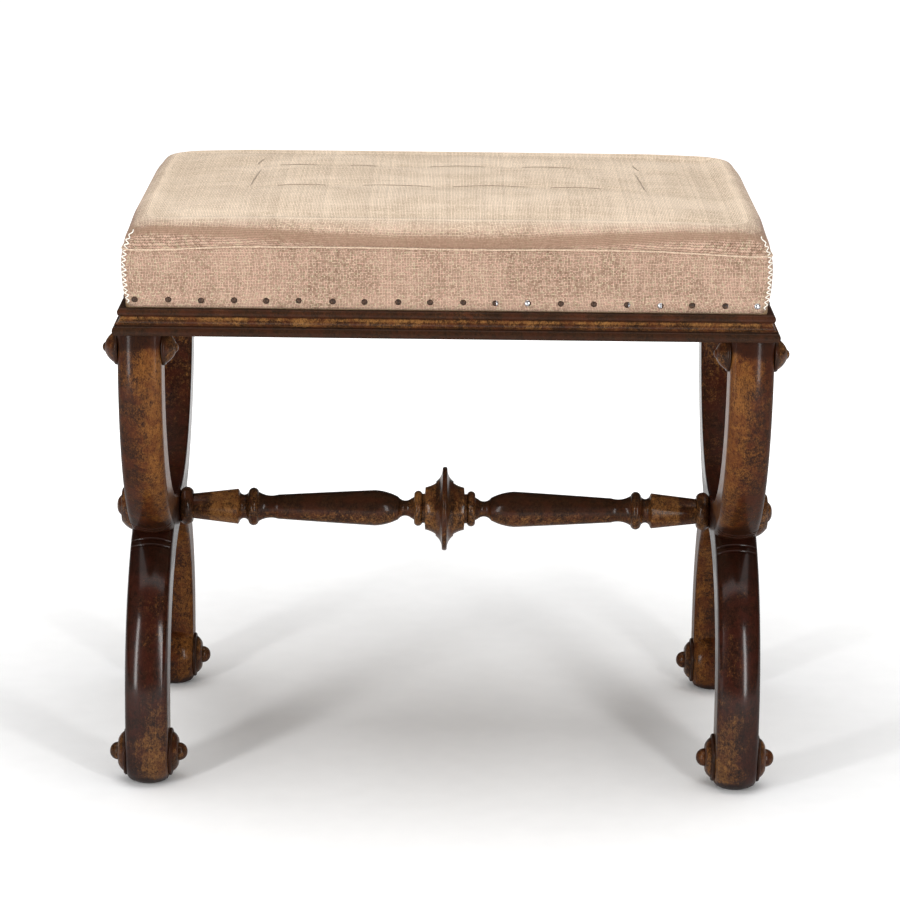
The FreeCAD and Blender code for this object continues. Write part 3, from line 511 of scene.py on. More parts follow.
def woven(finish, across, along, pitch, scale):
    """A plain weave, from the cloth's two coordinates, with threads that wander at this scale of noise.
    Returns the height of the threads, the mask of the small holes between them, and a chance value for each
    warp thread, each weft thread and each crossing."""
    drift = finish.joined(across, along, 0.0)
    sideways = finish.wander(scale, 0.6, 2.0, at=drift)
    lengthways = finish.wander(scale, 0.8, 2.0, at=finish.stretched(drift, (1.13, 0.94, 1.0)))
    tremble_across = finish.wander(210.0, 0.45, 2.0, 0.6, finish.stretched(drift, (1.0, 1.6, 1.0)))
    tremble_along = finish.wander(210.0, 0.45, 2.0, 0.6, finish.stretched(drift, (1.7, 1.1, 1.0)))
    x = across / pitch + sideways + tremble_across
    y = along / pitch + lengthways + tremble_along
    column, row = x.math("FLOOR"), y.math("FLOOR")
    in_column, in_row = x.math("FRACT") - 0.5, y.math("FRACT") - 0.5
    warp_chance = finish.chance(finish.joined(column, 3.0, 0.0))
    weft_chance = finish.chance(finish.joined(7.0, row, 0.0))
    crossing_chance = finish.chance(finish.joined(column, row, 11.0))
    over = (column + row).math("MODULO", 2.0).math("ABSOLUTE")
    warp = finish.between(1 - abs(in_column) / (0.30 + warp_chance * 0.14), 0.0, 0.75)
    weft = finish.between(1 - abs(in_row) / (0.30 + weft_chance * 0.14), 0.0, 0.75)
    warp_rise = 0.55 + over * 0.45 - in_row * in_row
    weft_rise = 1.0 - over * 0.45 - in_column * in_column
    height = (warp * warp_rise).math("MAXIMUM", weft * weft_rise)
    holes = 1 - finish.between(warp + weft, 0.05, 0.75)
    return height, holes, warp_chance, weft_chance, crossing_chance


def hessian(name, attribute, lit_top_tones, shaded_side_tones):
    """Plain woven jute cloth. The tones are the thread's shade, its lit colour and that of its patches, on
    top of the seat and on its sides, which the length down from the crest tells apart. They are lit and
    shaded copies of one cloth: the top's are lighter and paler as painted light and sheen, the sides' darker
    as painted shade."""
    finish = Finish(name)
    cloth = finish.stored(attribute)
    across, along, down = finish.parts(cloth)
    height, holes, warp_chance, weft_chance, crossing = woven(finish, across, along, WEAVE_PITCH, 26.0)
    wander = finish.wander(24.0, 2.5 * MM, 2.0)
    # on_side blends from the top's tones, lighter with painted light and sheen, to the sides' darker tones
    # of painted shade
    on_side = finish.between(down + wander * 2.4, -6 * MM, 32 * MM)
    # A lighter line along the crest of the roll: partly a painted highlight on its ridge, partly paler worn
    # threads
    crease = finish.band(down + wander * 1.2, -1.2 * MM, 1.2 * MM, 2.4 * MM)
    # Painted shade: the roll is darkened where it folds in over the seam
    seam_shade = finish.band(down + wander * 0.3, SEAM_SHADE_DOWN - 2 * MM, SEAM_SHADE_DOWN + 3 * MM, 6 * MM)
    fibres = finish.drawn_noise((1300.0, 1300.0, 1.0), 3.0, 0.75, at=cloth)
    weft_slubs = finish.drawn_noise((110.0, 800.0, 1.0), 1.0, at=cloth)
    warp_slubs = finish.drawn_noise((800.0, 110.0, 1.0), 1.0, at=cloth)
    shade, lit, patch = [finish.mixed(on_side, top, side) for top, side in zip(lit_top_tones, shaded_side_tones)]
    thread_tone = (height * 0.42 + (warp_chance + weft_chance - 1.0) * 0.14 + (fibres - 0.5) * 0.6
                   + (crossing - 0.5) * (0.45 + on_side * 0.45) + (weft_slubs + warp_slubs - 1.0) * 0.3)
    light = finish.between(thread_tone, -0.20, 0.95 + on_side * 0.25, False)
    patches = finish.between(finish.noise(16.0, 3.0, 0.6), 0.38, 0.66)
    hue = finish.chance(finish.joined(crossing * 31.0, warp_chance * 17.0, weft_chance * 13.0))
    red_value = shaded_side_tones[1][0]
    rosy = (red_value * 1.05, red_value * 0.62, red_value * 0.48)
    slubs = finish.between(weft_slubs, 0.66, 0.74) + finish.between(warp_slubs, 0.66, 0.74)
    colour = finish.layered(
        finish.mixed(light, shade, lit),
        (patches * 0.45, patch),
        (finish.between(hue, 0.72, 1.0) * on_side * 0.45, rosy),
        (finish.between(1 - hue, 0.78, 1.0) * (0.10 + on_side * 0.22), (0.50, 0.49, 0.30)),
        (finish.between(slubs, 0.0, 1.0) * 0.25, scaled(shaded_side_tones[1], 1.2)),
        (holes * 0.8, scaled(shaded_side_tones[0], 0.28)),
        # lighter crest line, partly a painted highlight
        (crease * 0.22, scaled(lit_top_tones[1], 1.1)),
        # painted shade over the seam
        (seam_shade * 0.70, scaled(shaded_side_tones[0], 1.1)))
    normal = finish.bump(height + fibres * 0.35 + crossing * 0.8, 0.20 * MM, 0.5)
    return finish.surface(colour, 0.86, normal, Sheen_Weight=0.08, Specular_IOR_Level=0.15)


def flat_weave(name, pitch, tones):
    """Woven cloth that lies flat, such as the webbing and the base cloth under the stuffing."""
    finish = Finish(name)
    height, holes, warp_chance, weft_chance, _ = woven(finish, finish.x, finish.y, pitch, 18.0)
    fibres = finish.drawn_noise((700.0, 700.0, 300.0), 3.0, 0.7)
    shade, lit = tones
    light = (warp_chance + weft_chance) * 0.3 + fibres * 0.6
    colour = finish.mixed(finish.between(light, 0.25, 0.85), shade, lit)
    colour = finish.mixed(holes * 0.7, colour, scaled(shade, 0.25))
    normal = finish.bump(height + fibres * 0.3, 0.35 * MM, 0.8)
    return finish.surface(colour, 0.88, normal, Sheen_Weight=0.1, Specular_IOR_Level=0.2)


def thread(name, pale, dark, roughness=0.7):
    """Twisted thread: fine uneven ridges, and dirt here and there."""
    finish = Finish(name)
    ply = finish.drawn_noise((1500.0, 1500.0, 1500.0), 2.0, 0.6)
    dirt = finish.noise(90.0, 2.0)
    colour = finish.mixed(finish.between(ply, 0.32, 0.62), dark, pale)
    colour = finish.mixed(finish.between(dirt, 0.5, 0.75) * 0.4, colour, scaled(pale, 0.6))
    return finish.surface(colour, roughness, finish.bump(ply, 0.15 * MM, 0.7), Sheen_Weight=0.15)


def tack_iron():
    """Blued iron with brown rust. By chance of its place, a tack head here and there is worn bright."""
    finish = Finish("tack_iron")
    rust = finish.noise(600.0, 3.0, 0.65)
    colour = finish.ramp(rust, ((0.32, (0.014, 0.009, 0.007)), (0.55, (0.055, 0.027, 0.015)),
                                (0.75, (0.11, 0.055, 0.03))))
    which = finish.joined((finish.x / TACK_PITCH).math("ROUND"), (finish.y / TACK_PITCH).math("ROUND"), 0.0)
    bright = finish.between(finish.chance(which), 0.80, 0.84) * finish.between(rust, 0.34, 0.52)
    colour = finish.mixed(bright, colour, (0.60, 0.60, 0.62))
    normal = finish.bump(rust, 0.2 * MM, 0.5)
    return finish.surface(colour, 0.5 - bright * 0.22, normal, metallic=0.55 + bright * 0.4)


def steel():
    """Dull steel of the screws, with fine marks."""
    finish = Finish("screw_steel")
    marks = finish.noise(800.0, 3.0, 0.6)
    colour = finish.ramp(marks, ((0.3, (0.18, 0.16, 0.15)), (0.7, (0.42, 0.40, 0.38))))
    return finish.surface(colour, 0.35 + 0.2 * marks, finish.bump(marks, 0.1 * MM, 0.4), metallic=0.9)


def dress(names, material):
    """Gives these nodes of the frame one finish."""
    for name in names:
        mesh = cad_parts[name].data
        mesh.materials.clear()
        mesh.materials.append(material)


def named(word):
    """Names of the nodes that hold this word."""
    return [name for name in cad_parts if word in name]


def smooth_curve(points, steps):
    """Points on a smooth curve through the given ones, steps of them from each to the next."""
    rounded = []
    for index in range(len(points) - 1):
        before = points[max(index - 1, 0)]
        start, end = points[index], points[index + 1]
        after = points[min(index + 2, len(points) - 1)]
        for step in range(steps):
            t = step / steps
            rounded.append(tuple(
                0.5 * (2 * b + (c - a) * t + (2 * a - 5 * b + 4 * c - d) * t ** 2
                       + (3 * b - a - 3 * c + d) * t ** 3)
                for a, b, c, d in zip(before, start, end, after)))
    rounded.append(tuple(points[-1]))
    return rounded


def smoothstep(value, low, high):
    t = min(max((value - low) / (high - low), 0.0), 1.0)
    return t * t * (3 - 2 * t)


def interpolated(table, value):
    """The height that a table of (place, height) gives at this place, smooth between its rows."""
    height = table[0][1]
    for (low, start), (high, end) in zip(table, table[1:]):
        height += (end - start) * smoothstep(value, low, high)
    return height


def side_counts():
    """How many mesh steps the long and the short side of the seat have."""
    return round(2 * SEAT_HALF_WIDTH / MESH_STEP), round(2 * SEAT_HALF_DEPTH / MESH_STEP)


def half_side(half_length, half_other, radius, count):
    """Places along one side, from the middle of one corner's arc to the middle of the next: along the side
    and outward from the seat's middle."""
    straight = count - 2 * CORNER_STEPS
    places = []
    for step in range(count + 1):
        share = min(max((step - CORNER_STEPS) / straight, 0.0), 1.0)
        into_corner = max(CORNER_STEPS - step, step - CORNER_STEPS - straight, 0)
        angle = math.radians(45) * into_corner / CORNER_STEPS
        places.append(((2 * share - 1) * (half_length - radius + radius * math.sin(angle)),
                       half_other - radius + radius * math.cos(angle)))
    return places


def ring_points(inset, radius):
    """The rounded rectangle at this inset, as points from the front left corner round by the right."""
    long_count, short_count = side_counts()
    half_x, half_y = SEAT_HALF_WIDTH - inset, SEAT_HALF_DEPTH - inset
    front = half_side(half_x, half_y, radius, long_count)
    side = half_side(half_y, half_x, radius, short_count)
    points = [(along, -out) for along, out in front[:-1]]
    points += [(out, along) for along, out in side[:-1]]
    points += [(-along, out) for along, out in front[:-1]]
    points += [(-out, -along) for along, out in side[:-1]]
    return points


def corner_fall(x, y):
    """How near a place is to a corner of the seat: 1 at the corner, and 0 out of its reach."""
    from_corner = math.hypot(SEAT_HALF_WIDTH - abs(x), SEAT_HALF_DEPTH - abs(y))
    return 1 - smoothstep(from_corner, 0.0, CORNER_REACH)


def edge_distance(x, y):
    """Distance of a place on the top from the seat's outline, with its corners as round as the crest's."""
    dx = abs(x) - (SEAT_HALF_WIDTH - CREST_RADIUS)
    dy = abs(y) - (SEAT_HALF_DEPTH - CREST_RADIUS)
    outside = math.hypot(max(dx, 0.0), max(dy, 0.0))
    return CREST_RADIUS - outside - min(max(dx, dy), 0.0)


def hollow(distance, width):
    """Share of a hollow's depth at this distance from its line."""
    return math.exp(-(distance / width) ** 2)


def tie_dip(x, y):
    """Depth of the hollows along the rows and columns of long stitches, at this place on the top."""
    from_row = min(abs(y - place) for place, _ in TIE_ROWS)
    from_column = abs(abs(x) - TIE_COLUMN)
    row_share = 1 - smoothstep(abs(x), *TIE_ROW_FADE)
    column_share = 1 - smoothstep(abs(y - TIE_COLUMN_MIDDLE), *TIE_COLUMN_FADE)
    return TIE_DIP * max(hollow(from_row, TIE_DIP_WIDTH) * row_share,
                         hollow(from_column, TIE_DIP_WIDTH) * column_share)


def unevenness(x, y, scale, seed, reach):
    """A slow rise and fall from place to place, by at most reach either way."""
    return noise.noise(Vector((x * scale, y * scale, seed))) * reach


def top_height(x, y):
    """Height of the seat's top over the foot of its cover, with its lumps and its slope to the right."""
    inset = edge_distance(x, y)
    lumps = unevenness(x, y, 14, 3.1, 0.8 * MM) + unevenness(x, y, 38, 9.4, 0.3 * MM)
    slope = -5.5 * MM * smoothstep(x, 90 * MM, SEAT_HALF_WIDTH) * (0.45 + 0.55 * smoothstep(y, -0.05, 0.12))
    inner = smoothstep(inset, CREST_INSET, CREST_INSET + 25 * MM)
    fall = CREST_FALL * corner_fall(x, y)
    height = interpolated([scaled(row, MM) for row in TOP_PROFILE], inset)
    return height - fall + (lumps + slope) * inner - tie_dip(x, y)


def side_height(height, x, y):
    """Height of a place on the side, with the seam's fall towards the corners and its slight waves."""
    near_seam = 1 - min(abs(height - SEAM_HEIGHT) / (22 * MM), 1.0)
    near_crest = smoothstep(height, SEAM_HEIGHT, CREST_HEIGHT)
    seam_share = near_seam * (1 - near_crest)
    fall = corner_fall(x, y) * (SEAM_FALL * seam_share + CREST_FALL * near_crest)
    return height - fall + unevenness(x, y, 11, 0.7, 1.0 * MM) * seam_share


def ring_faces(low, high):
    """The faces that join two closed rings, each given as the numbers of its vertices."""
    faces = []
    for step in range(len(low)):
        after = (step + 1) % len(low)
        faces.append([low[step], low[after], high[after], high[step]])
    return faces


def fill_ring(vertices, ring, height):
    """Closes a ring of vertices with a grid between its four sides, and returns the grid's faces. height
    gives each inner point's height from its x and y."""
    columns, rows = side_counts()
    closed = ring + ring[:1]
    front = closed[:columns + 1]
    right = closed[columns:columns + rows + 1]
    back = closed[columns + rows:2 * columns + rows + 1][::-1]
    left = closed[2 * columns + rows:][::-1]
    flat = {index: Vector(vertices[index][:2]) for index in ring}
    grid = [front]
    for row in range(1, rows):
        v = row / rows
        line = [left[row]]
        for column in range(1, columns):
            u = column / columns
            across = (flat[front[column]] * (1 - v) + flat[back[column]] * v
                      + flat[left[row]] * (1 - u) + flat[right[row]] * u)
            corners = ((flat[front[0]] * (1 - u) + flat[front[-1]] * u) * (1 - v)
                       + (flat[back[0]] * (1 - u) + flat[back[-1]] * u) * v)
            x, y = across - corners
            line.append(len(vertices))
            vertices.append(Vector((x, y, height(x, y))))
        grid.append(line + [right[row]])
    grid.append(back)
    faces = []
    for low, high in zip(grid, grid[1:]):
        faces += [[low[step], low[step + 1], high[step + 1], high[step]] for step in range(columns)]
    return faces


def seat_mesh():
    """The closed skin of the seat. Returns its vertices, its faces, the cloth of each face (0 for the panel
    and 1 for the bands), the rings of vertices from inside the foot up to the crest, and which are the
    seam's and the foot's."""
    band = smooth_curve([scaled(row, MM) for row in BAND_PROFILE + (SEAM_PROFILE,)], 2)
    roll = smooth_curve([scaled(row, MM) for row in (SEAM_PROFILE,) + ROLL_PROFILE], 2)[1:]
    inner = [(CLOTH_THICKNESS, height, 8 * MM, CLOTH_THICKNESS) for height in (PAD_BOTTOM - SEAT_FOOT, 0.0)]
    vertices, faces, rings = [], [], []
    for inset, height, radius, corner_inset in inner + band + roll:
        ring = []
        corners = ring_points(corner_inset, radius)
        for (x, y), (corner_x, corner_y) in zip(ring_points(inset, radius), corners):
            share = corner_fall(x, y)
            x, y = x + (corner_x - x) * share, y + (corner_y - y) * share
            ring.append(len(vertices))
            vertices.append(Vector((x, y, SEAT_FOOT + side_height(height, x, y))))
        rings.append(ring)
    foot_ring = len(inner)
    seam_ring = foot_ring + len(band) - 1
    for low, high in zip(rings, rings[1:]):
        faces += ring_faces(low, high)
    top = fill_ring(vertices, rings[-1], lambda x, y: SEAT_FOOT + top_height(x, y))
    under = fill_ring(vertices, rings[0], lambda x, y: PAD_BOTTOM)
    below_seam = seam_ring * len(rings[0])
    cloths = [1] * below_seam + [0] * (len(faces) - below_seam + len(top)) + [1] * len(under)
    faces += top + [face[::-1] for face in under]
    return vertices, faces, cloths, rings, seam_ring, foot_ring


def cloth_places(vertices, rings, seam_ring, foot_ring):
    """Coordinates of the cloth itself at each vertex: of the panel, measured on from the crest down over
    the roll, and of the bands, measured round the seat and up. The third is the length down from the
    crest."""
    panel = [Vector((x, y, CREST_INSET - edge_distance(x, y))) for x, y, _ in vertices]
    band = [Vector((x, y, BAND_DOWN)) for x, y, _ in vertices]
    around = 0.0
    for step in range(len(rings[0])):
        here = vertices[rings[-1][step]]
        outward = vertices[rings[seam_ring + 2][step]] - here
        outward.z = 0.0
        outward.normalize()
        length = 0.0
        for level in range(len(rings) - 2, seam_ring - 1, -1):
            index = rings[level][step]
            length += (vertices[index] - vertices[rings[level + 1][step]]).length
            panel[index] = Vector((here.x + outward.x * length, here.y + outward.y * length, length))
        if step:
            around += (vertices[rings[foot_ring][step]] - vertices[rings[foot_ring][step - 1]]).length
        for ring in rings:
            band[ring[step]] = Vector((around, vertices[ring[step]].z, BAND_DOWN))
    return panel, band


def write_places(mesh, name, places):
    stored = mesh.attributes.new(name, "FLOAT_VECTOR", "POINT")
    for element, place in zip(stored.data, places):
        element.vector = place


def placed(name, data):
    """A new object of the scene, with this mesh, light or camera."""
    made = bpy.data.objects.new(name, data)
    bpy.context.scene.collection.objects.link(made)
    return made


def object_of(name, vertices, faces, materials, face_material=None):
    """A new piece of the scene from its points and faces, smooth all over."""
    mesh = bpy.data.meshes.new(name)
    mesh.from_pydata([tuple(vertex) for vertex in vertices], [], faces)
    for material in materials:
        mesh.materials.append(material)
    if face_material is not None:
        mesh.polygons.foreach_set("material_index", face_material)
    mesh.polygons.foreach_set("use_smooth", [True] * len(mesh.polygons))
    return placed(name, mesh)


def pin_strengths(vertices, rings, seam_ring, foot_ring):
    """How firmly each point of the seat is held: the foot, the seam and the inside fully, and the rings
    beside the seam, the groove and the ties nearly so."""
    strength = []
    for x, y, z in vertices:
        groove = hollow(edge_distance(x, y) - GROOVE_INSET, GROOVE_WIDTH)
        inside = z < SEAM_HEIGHT + SEAT_FOOT
        strength.append(1.0 if inside else max(0.7 * groove, 0.85 * tie_dip(x, y) / TIE_DIP))
    for level, ring in enumerate(rings):
        held = level <= foot_ring + 4 or level == seam_ring
        beside_seam = abs(level - seam_ring) == 1
        for index in ring:
            strength[index] = 1.0 if held else 0.75 if beside_seam else 0.0
    return strength


def fill_with_stuffing(piece, strength):
    """Swells the seat by a short cloth simulation, keeps the result and caps how far a point has moved."""
    start = [vertex.co.copy() for vertex in piece.data.vertices]
    group = piece.vertex_groups.new(name="held")
    for index, amount in enumerate(strength):
        if amount > 0:
            group.add([index], amount, "REPLACE")
    modifier = piece.modifiers.new("Cloth", "CLOTH")
    for name, value in CLOTH_SETTINGS.items():
        setattr(modifier.settings, name, value)
    modifier.settings.effector_weights.gravity = 0
    modifier.collision_settings.use_collision = False
    modifier.collision_settings.use_self_collision = False
    scene = bpy.context.scene
    scene.frame_start = 1
    scene.frame_end = CLOTH_FRAMES
    for number in range(1, CLOTH_FRAMES + 1):
        scene.frame_set(number)
    graph = bpy.context.evaluated_depsgraph_get()
    swollen = piece.evaluated_get(graph).to_mesh()
    ends = [vertex.co.copy() for vertex in swollen.vertices]
    piece.evaluated_get(graph).to_mesh_clear()
    piece.modifiers.remove(modifier)
    scene.frame_set(1)
    for vertex, before, after in zip(piece.data.vertices, start, ends):
        move = after - before
        if move.length > CLOTH_CAP:
            move = move * (CLOTH_CAP / move.length)
        vertex.co = before + move
    piece.data.update()


def keep_subdivided(piece):
    """Replaces the piece's mesh by its subdivided one."""
    modifier = piece.modifiers.new("Subdivision", "SUBSURF")
    modifier.levels = 1
    graph = bpy.context.evaluated_depsgraph_get()
    finer = bpy.data.meshes.new_from_object(piece.evaluated_get(graph), depsgraph=graph)
    piece.modifiers.remove(modifier)
    finer.name = piece.name
    piece.data = finer


def circle(middle, side, other, radius, sides):
    """Points round a circle, whose plane side and other span."""
    angles = [2 * math.pi * corner / sides for corner in range(sides)]
    return [middle + (side * math.cos(angle) + other * math.sin(angle)) * radius for angle in angles]


def wall_faces(sides, levels):
    """Faces between rings of vertices that are numbered one after the other, with the first ring closed."""
    rings = [list(range(level * sides, (level + 1) * sides)) for level in range(levels)]
    faces = []
    for low, high in zip(rings, rings[1:]):
        faces += ring_faces(low, high)
    return faces + [rings[0][::-1]]


def tube(route, radius, sides=7, taper=0.5):
    """Vertices and faces of a closed round tube along a route of points. radius is a number, or a function
    of the share of the route that gives it."""
    size = radius if callable(radius) else lambda share: radius
    vertices = []
    count = len(route)
    side = None
    for index, point in enumerate(route):
        ahead = (route[min(index + 1, count - 1)] - route[max(index - 1, 0)]).normalized()
        if side is None:
            side = ahead.orthogonal().normalized()
        side = (side - ahead * side.dot(ahead)).normalized()
        other = ahead.cross(side)
        share = index / (count - 1)
        width = size(share) * (taper if index in (0, count - 1) else 1.0)
        vertices += circle(point, side, other, width, sides)
    return vertices, wall_faces(sides, count) + [list(range((count - 1) * sides, count * sides))]


def joined_shapes(shapes):
    """Several shapes as one list of vertices and one of faces."""
    vertices, faces = [], []
    for more_vertices, more_faces in shapes:
        offset = len(vertices)
        vertices += more_vertices
        faces += [[index + offset for index in face] for face in more_faces]
    return vertices, faces


def smooth_route(points, steps):
    """A finer route on a smooth curve through these points, with steps from each to the next."""
    return [Vector(point) for point in smooth_curve([tuple(point) for point in points], steps)]


def surface_point(skin, start, direction, lift):
    """The place where a line meets the seat's skin, lifted off it by this much."""
    place, normal, _, _ = skin.ray_cast(start, direction)
    if place is None:
        place, normal, _, _ = skin.find_nearest(start)
    return place + normal * lift


def corner_angle_point(skin, x_sign, y_sign, height, aside, lift):
    """A place on a corner of the seat at this height, aside by so much round the corner."""
    half_x, half_y = SEAT_HALF_WIDTH - CORNER_RADIUS, SEAT_HALF_DEPTH - CORNER_RADIUS
    centre = Vector((x_sign * half_x, y_sign * half_y, height))
    angle = math.radians(45) + aside / CORNER_RADIUS
    outward = Vector((x_sign * math.cos(angle), y_sign * math.sin(angle), 0.0))
    return surface_point(skin, centre + outward * RAY_START, -outward, lift)


def corner_stitching(skin):
    """White hand stitches that zigzag down each corner of the seat, uneven in width and pitch."""
    low = SEAT_FOOT + 3 * MM
    high = SEAT_FOOT + SEAM_HEIGHT + 12 * MM
    steps = int((high - low) / (STITCH_PITCH / 2))
    tubes = []
    for x_sign in (-1, 1):
        for y_sign in (-1, 1):
            route = []
            for step in range(steps + 1):
                wobble = noise.noise(Vector((step * 1.7, x_sign * 3.1, y_sign * 5.3))) * 0.9 * MM
                aside = (1 if step % 2 else -1) * (STITCH_REACH + wobble)
                height = high - step * STITCH_PITCH / 2 + wobble
                route.append(corner_angle_point(skin, x_sign, y_sign, height, aside, 0.35 * MM))
            tubes.append(tube(smooth_route(route, 4), STITCH_RADIUS))
    return joined_shapes(tubes)


def tack_head(place, outward, radius):
    """A domed tack head on the cloth, as a turned shape about the line that points outward."""
    side = outward.orthogonal().normalized()
    other = outward.cross(side)
    vertices = []
    for share, height in TACK_PROFILE:
        vertices += circle(place + outward * (TACK_RISE * height), side, other, radius * share, TACK_SIDES)
    last = len(vertices) - TACK_SIDES
    top = len(vertices)
    vertices.append(place + outward * TACK_RISE)
    dome = [[last + corner, last + (corner + 1) % TACK_SIDES, top] for corner in range(TACK_SIDES)]
    return vertices, wall_faces(TACK_SIDES, len(TACK_PROFILE)) + dome


def cover_tack_row(skin):
    """The tacks that hold the cover's foot, round all four sides, a little uneven in place and height."""
    long_side = (SEAT_HALF_WIDTH, SEAT_HALF_DEPTH, TACKS_FRONT)
    short_side = (SEAT_HALF_DEPTH, SEAT_HALF_WIDTH, TACKS_SIDE)
    heads = []
    for turn, (half_length, half_other, count) in zip((0, 90, 180, 270), (long_side, short_side) * 2):
        spin = Matrix.Rotation(math.radians(turn), 3, "Z")
        outward = spin @ Vector((0, -1, 0))
        reach = half_length - TACK_CORNER_GAP
        for number in range(count):
            chance = noise.noise_vector(Vector((number * 3.7, turn * 0.31, 2.0)))
            along = reach * (2 * number / (count - 1) - 1) + chance.x * 2.2 * MM
            start = Vector((along, -half_other - RAY_START, SEAT_FOOT + TACK_HEIGHT + chance.y * 1.2 * MM))
            place = surface_point(skin, spin @ start, -outward, 0.0)
            tilt = (outward + Vector((chance.z, chance.x, chance.y)) * 0.16).normalized()
            heads.append(tack_head(place, tilt, TACK_RADIUS + 0.3 * MM * chance.z))
    return joined_shapes(heads)


def seam_ridge(skin):
    """The narrow ridge where panel and band are sewn together, whipped with thread all round the seat."""
    inner_x, inner_y = SEAT_HALF_WIDTH - RIDGE_ROUNDING, SEAT_HALF_DEPTH - RIDGE_ROUNDING
    route = []
    for x, y in ring_points(RIDGE_INSET, CORNER_RADIUS):
        height = SEAT_FOOT + side_height(SEAM_HEIGHT, x, y) + unevenness(x, y, 90, 4.0, 0.5 * MM)
        middle = Vector((max(min(x, inner_x), -inner_x), max(min(y, inner_y), -inner_y), 0.0))
        outward = (Vector((x, y, 0.0)) - middle).normalized()
        start = Vector((x, y, height)) + outward * RIDGE_RAY_MM * MM
        route.append(surface_point(skin, start, -outward, RIDGE_LIFT))
    fine = smooth_route(route + route[:1], 5)
    whips = len(fine) / 2.6

    def width(share):
        whipping = 0.2 * math.sin(share * 2 * math.pi * whips)
        wear = 0.3 * noise.noise(Vector((share * 400, 0, 0)))
        return RIDGE_RADIUS + (whipping + wear) * MM

    return tube(fine, width, taper=1.0)


def tie_stitching(skin):
    """Long stitches of dark twine that hold the stuffing down, two strands each, on top of the seat."""
    stitches = []
    for y, spans in TIE_ROWS:
        for start, end in spans:
            stitches.append((Vector((start * MM, y, 0)), Vector((end * MM, y, 0))))
    for x in (-TIE_COLUMN, TIE_COLUMN):
        for start, end in TIE_COLUMN_SPANS:
            stitches.append((Vector((x, start * MM, 0)), Vector((x * 0.97, end * MM, 0))))
    tubes = []
    for start, end in stitches:
        across = (end - start).normalized().cross(Vector((0, 0, 1)))
        for strand in (-1, 1):
            route = []
            for step in range(TWINE_STEPS + 1):
                share = step / TWINE_STEPS
                bow = math.sin(math.pi * share) * (abs(across.y) * 4.0 + strand * 0.5) * MM
                above = start.lerp(end, share) - across * bow + Vector((0, 0, 0.6))
                sink = -0.8 * MM if step in (0, TWINE_STEPS) else 0.25 * MM
                route.append(surface_point(skin, above, Vector((0, 0, -1)), sink))
            tubes.append(tube(route, TWINE_RADIUS, sides=6))
    return joined_shapes(tubes)


def build_seat():
    """The upholstered seat: its skin, swollen by simulation, and the threads that are sewn through it."""
    vertices, faces, cloths, rings, seam_ring, foot_ring = seat_mesh()
    panel, band = cloth_places(vertices, rings, seam_ring, foot_ring)
    # Lit and shaded copies of one cloth: the top's tones are lighter and paler as painted light and sheen,
    # the sides' darker as painted shade
    lit_top_tones = ((0.45, 0.34, 0.24), (0.90, 0.73, 0.555), (0.84, 0.69, 0.54))
    shaded_side_tones = ((0.20, 0.120, 0.078), (0.54, 0.385, 0.285), (0.48, 0.325, 0.24))
    panel_cloth = hessian("panel_hessian", "panel_cloth", lit_top_tones, shaded_side_tones)
    band_cloth = hessian("band_hessian", "band_cloth", lit_top_tones, shaded_side_tones)
    seat = object_of("seat_cushion", vertices, faces, [panel_cloth, band_cloth], cloths)
    write_places(seat.data, "panel_cloth", panel)
    write_places(seat.data, "band_cloth", band)
    fill_with_stuffing(seat, pin_strengths(vertices, rings, seam_ring, foot_ring))
    keep_subdivided(seat)
    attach(seat, "root")
    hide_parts("stuffing_pad", "cover_top_panel", "cover_band_front", "cover_band_back",
                "cover_band_left", "cover_band_right")
    graph = bpy.context.evaluated_depsgraph_get()
    skin = BVHTree.FromObject(seat, graph)
    linen = thread("white_linen", (0.92, 0.89, 0.82), (0.60, 0.55, 0.46))
    twine = thread("dark_twine", (0.42, 0.33, 0.25), (0.24, 0.18, 0.13))
    ridge = thread("seam_whipping", (0.60, 0.45, 0.33), (0.30, 0.20, 0.13), 0.85)
    for name, shape, material, node in (("seam_whipping", seam_ridge(skin), ridge, "seam_thread"),
                                        ("corner_sewing", corner_stitching(skin), linen, "corner_stitches"),
                                        ("tie_sewing", tie_stitching(skin), twine, "tie_stitches")):
        piece = object_of(name, *shape, [material])
        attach(piece, "root")
        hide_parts(node)
    tacks = object_of("cover_tack_heads", *cover_tack_row(skin), [tack_iron()])
    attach(tacks, "root")
    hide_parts("cover_tacks")


def build_stage():
    """A pale floor that reaches far past the view, and glows away from the stool like the room behind it."""
    finish = Finish("pale_floor")
    grain = finish.noise(40.0, 3.0)
    colour = finish.ramp(grain, ((0.3, (0.85, 0.85, 0.85)), (0.7, (0.87, 0.87, 0.87))))
    away = finish.between((finish.x * finish.x + finish.y * finish.y) ** 0.5, 0.30, 1.25)
    away = away * finish.between(finish.y, -1.3, -0.2)
    glow = finish.mixed(away, (0.0, 0.0, 0.0), (0.75, 0.75, 0.75))
    material = finish.surface(colour, 0.8, Specular_IOR_Level=0.15, Emission_Strength=1.0, glow=glow)
    corners = [(x_sign * FLOOR_REACH, y_sign * FLOOR_REACH, 0)
               for x_sign, y_sign in ((-1, -1), (1, -1), (1, 1), (-1, 1))]
    floor = object_of("pale_floor", corners, [[0, 1, 2, 3]], [material])


def area_light(name, size, power, place, turn=(0, 0, 0)):
    """A soft light of this size and power, which looks down unless it is turned."""
    light = bpy.data.lights.new(name, "AREA")
    light.shape = "RECTANGLE"
    light.size, light.size_y = size
    light.energy = power
    lamp = placed(name, light)
    lamp.location = place
    lamp.rotation_euler = turn


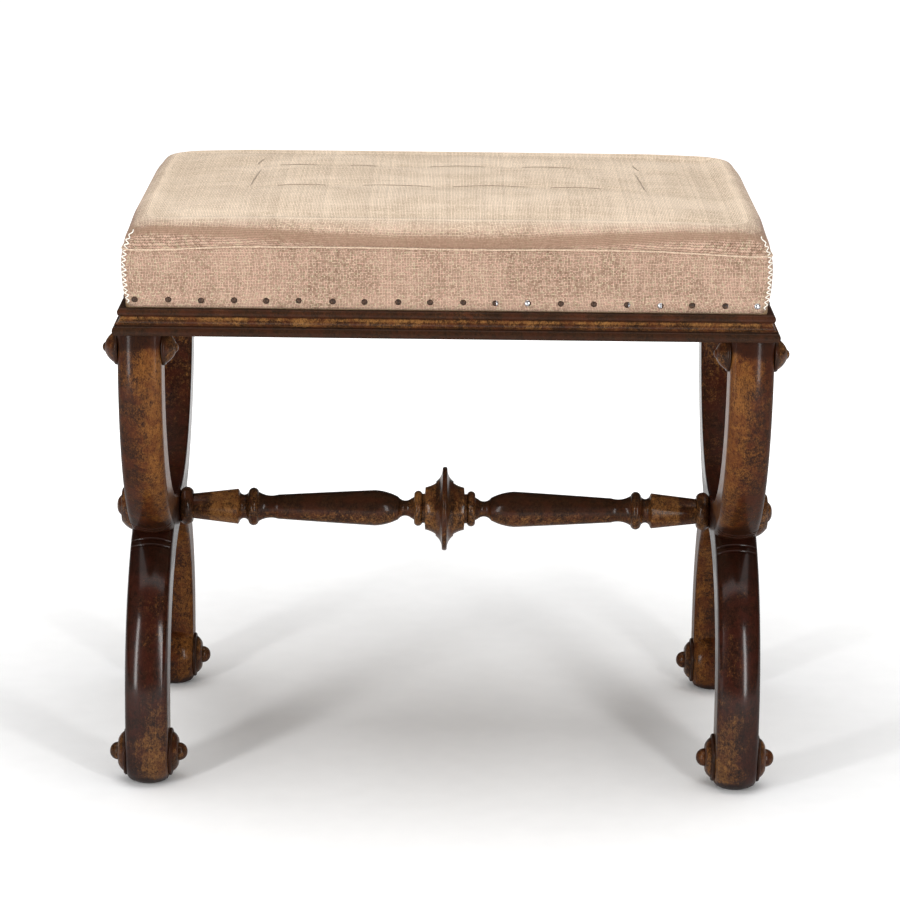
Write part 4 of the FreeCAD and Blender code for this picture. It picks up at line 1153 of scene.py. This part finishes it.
def softbox(name, azimuth):
    """A tall soft light that stands at this azimuth from the front and faces the stool."""
    angle = math.radians(azimuth)
    place = (SOFTBOX_DISTANCE * math.sin(angle), -SOFTBOX_DISTANCE * math.cos(angle),
             (SOFTBOX_LOW + SOFTBOX_HIGH) / 2)
    size = (SOFTBOX_WIDTH, SOFTBOX_HIGH - SOFTBOX_LOW)
    area_light(name, size, SOFTBOX_POWER, place, (math.radians(90), 0, angle))


def build_lights():
    """Two softboxes in front, a wide light overhead, and a plain white room."""
    softbox("left_softbox", -38)
    softbox("right_softbox", 28)
    area_light("overhead", OVERHEAD_SIZE, OVERHEAD_POWER, OVERHEAD_PLACE)
    world = bpy.data.worlds.new("studio")
    room = Nodes(world)
    rays = room.node("LightPath").outputs
    white = room.node("Background", None, {"Color": WHITE, "Strength": WORLD_FILL}).outputs[0]
    for ray, strength in (("Is Glossy Ray", WORLD_GLOSS), ("Is Camera Ray", WORLD_SEEN)):
        other = room.node("Background", None, {"Color": WHITE, "Strength": strength}).outputs[0]
        white = room.node("MixShader", None, {0: rays[ray], 1: white, 2: other}).outputs[0]
    room.node("OutputWorld", None, {"Surface": white})
    bpy.context.scene.world = world
    bpy.context.scene.view_settings.view_transform = "Standard"


def build_camera():
    """The camera at the photograph's place, with its long lens."""
    data = bpy.data.cameras.new("photo_camera")
    data.lens = CAMERA_LENS
    data.sensor_width = 36.0
    camera = placed("photo_camera", data)
    tilt = Matrix.Rotation(math.radians(90 - CAMERA_TILT), 4, "X")
    roll = Matrix.Rotation(math.radians(CAMERA_ROLL), 4, "Z")
    camera.matrix_world = Matrix.Translation(CAMERA_PLACE) @ tilt @ roll
    bpy.context.scene.camera = camera


def dress_frame():
    """Finishes of the pieces that keep their solid's own mesh."""
    for word, finish in build_wood_finishes().items():
        dress(named(word), finish)
    dress(named("rail_") + named("corner_block") + ["leg_dowels"], bare_wood())
    dress(["base_hessian"], flat_weave("base_cloth", 1.6 * MM, ((0.30, 0.20, 0.11), (0.62, 0.46, 0.30))))
    webbing_tones = ((0.34, 0.25, 0.15), (0.66, 0.54, 0.38))
    dress(["webbing_long", "webbing_cross"], flat_weave("jute_webbing", 2.2 * MM, webbing_tones))
    dress(["webbing_tacks"], tack_iron())
    dress(["corner_screws"], steel())


dress_frame()
build_seat()
build_stage()
build_lights()
build_camera()
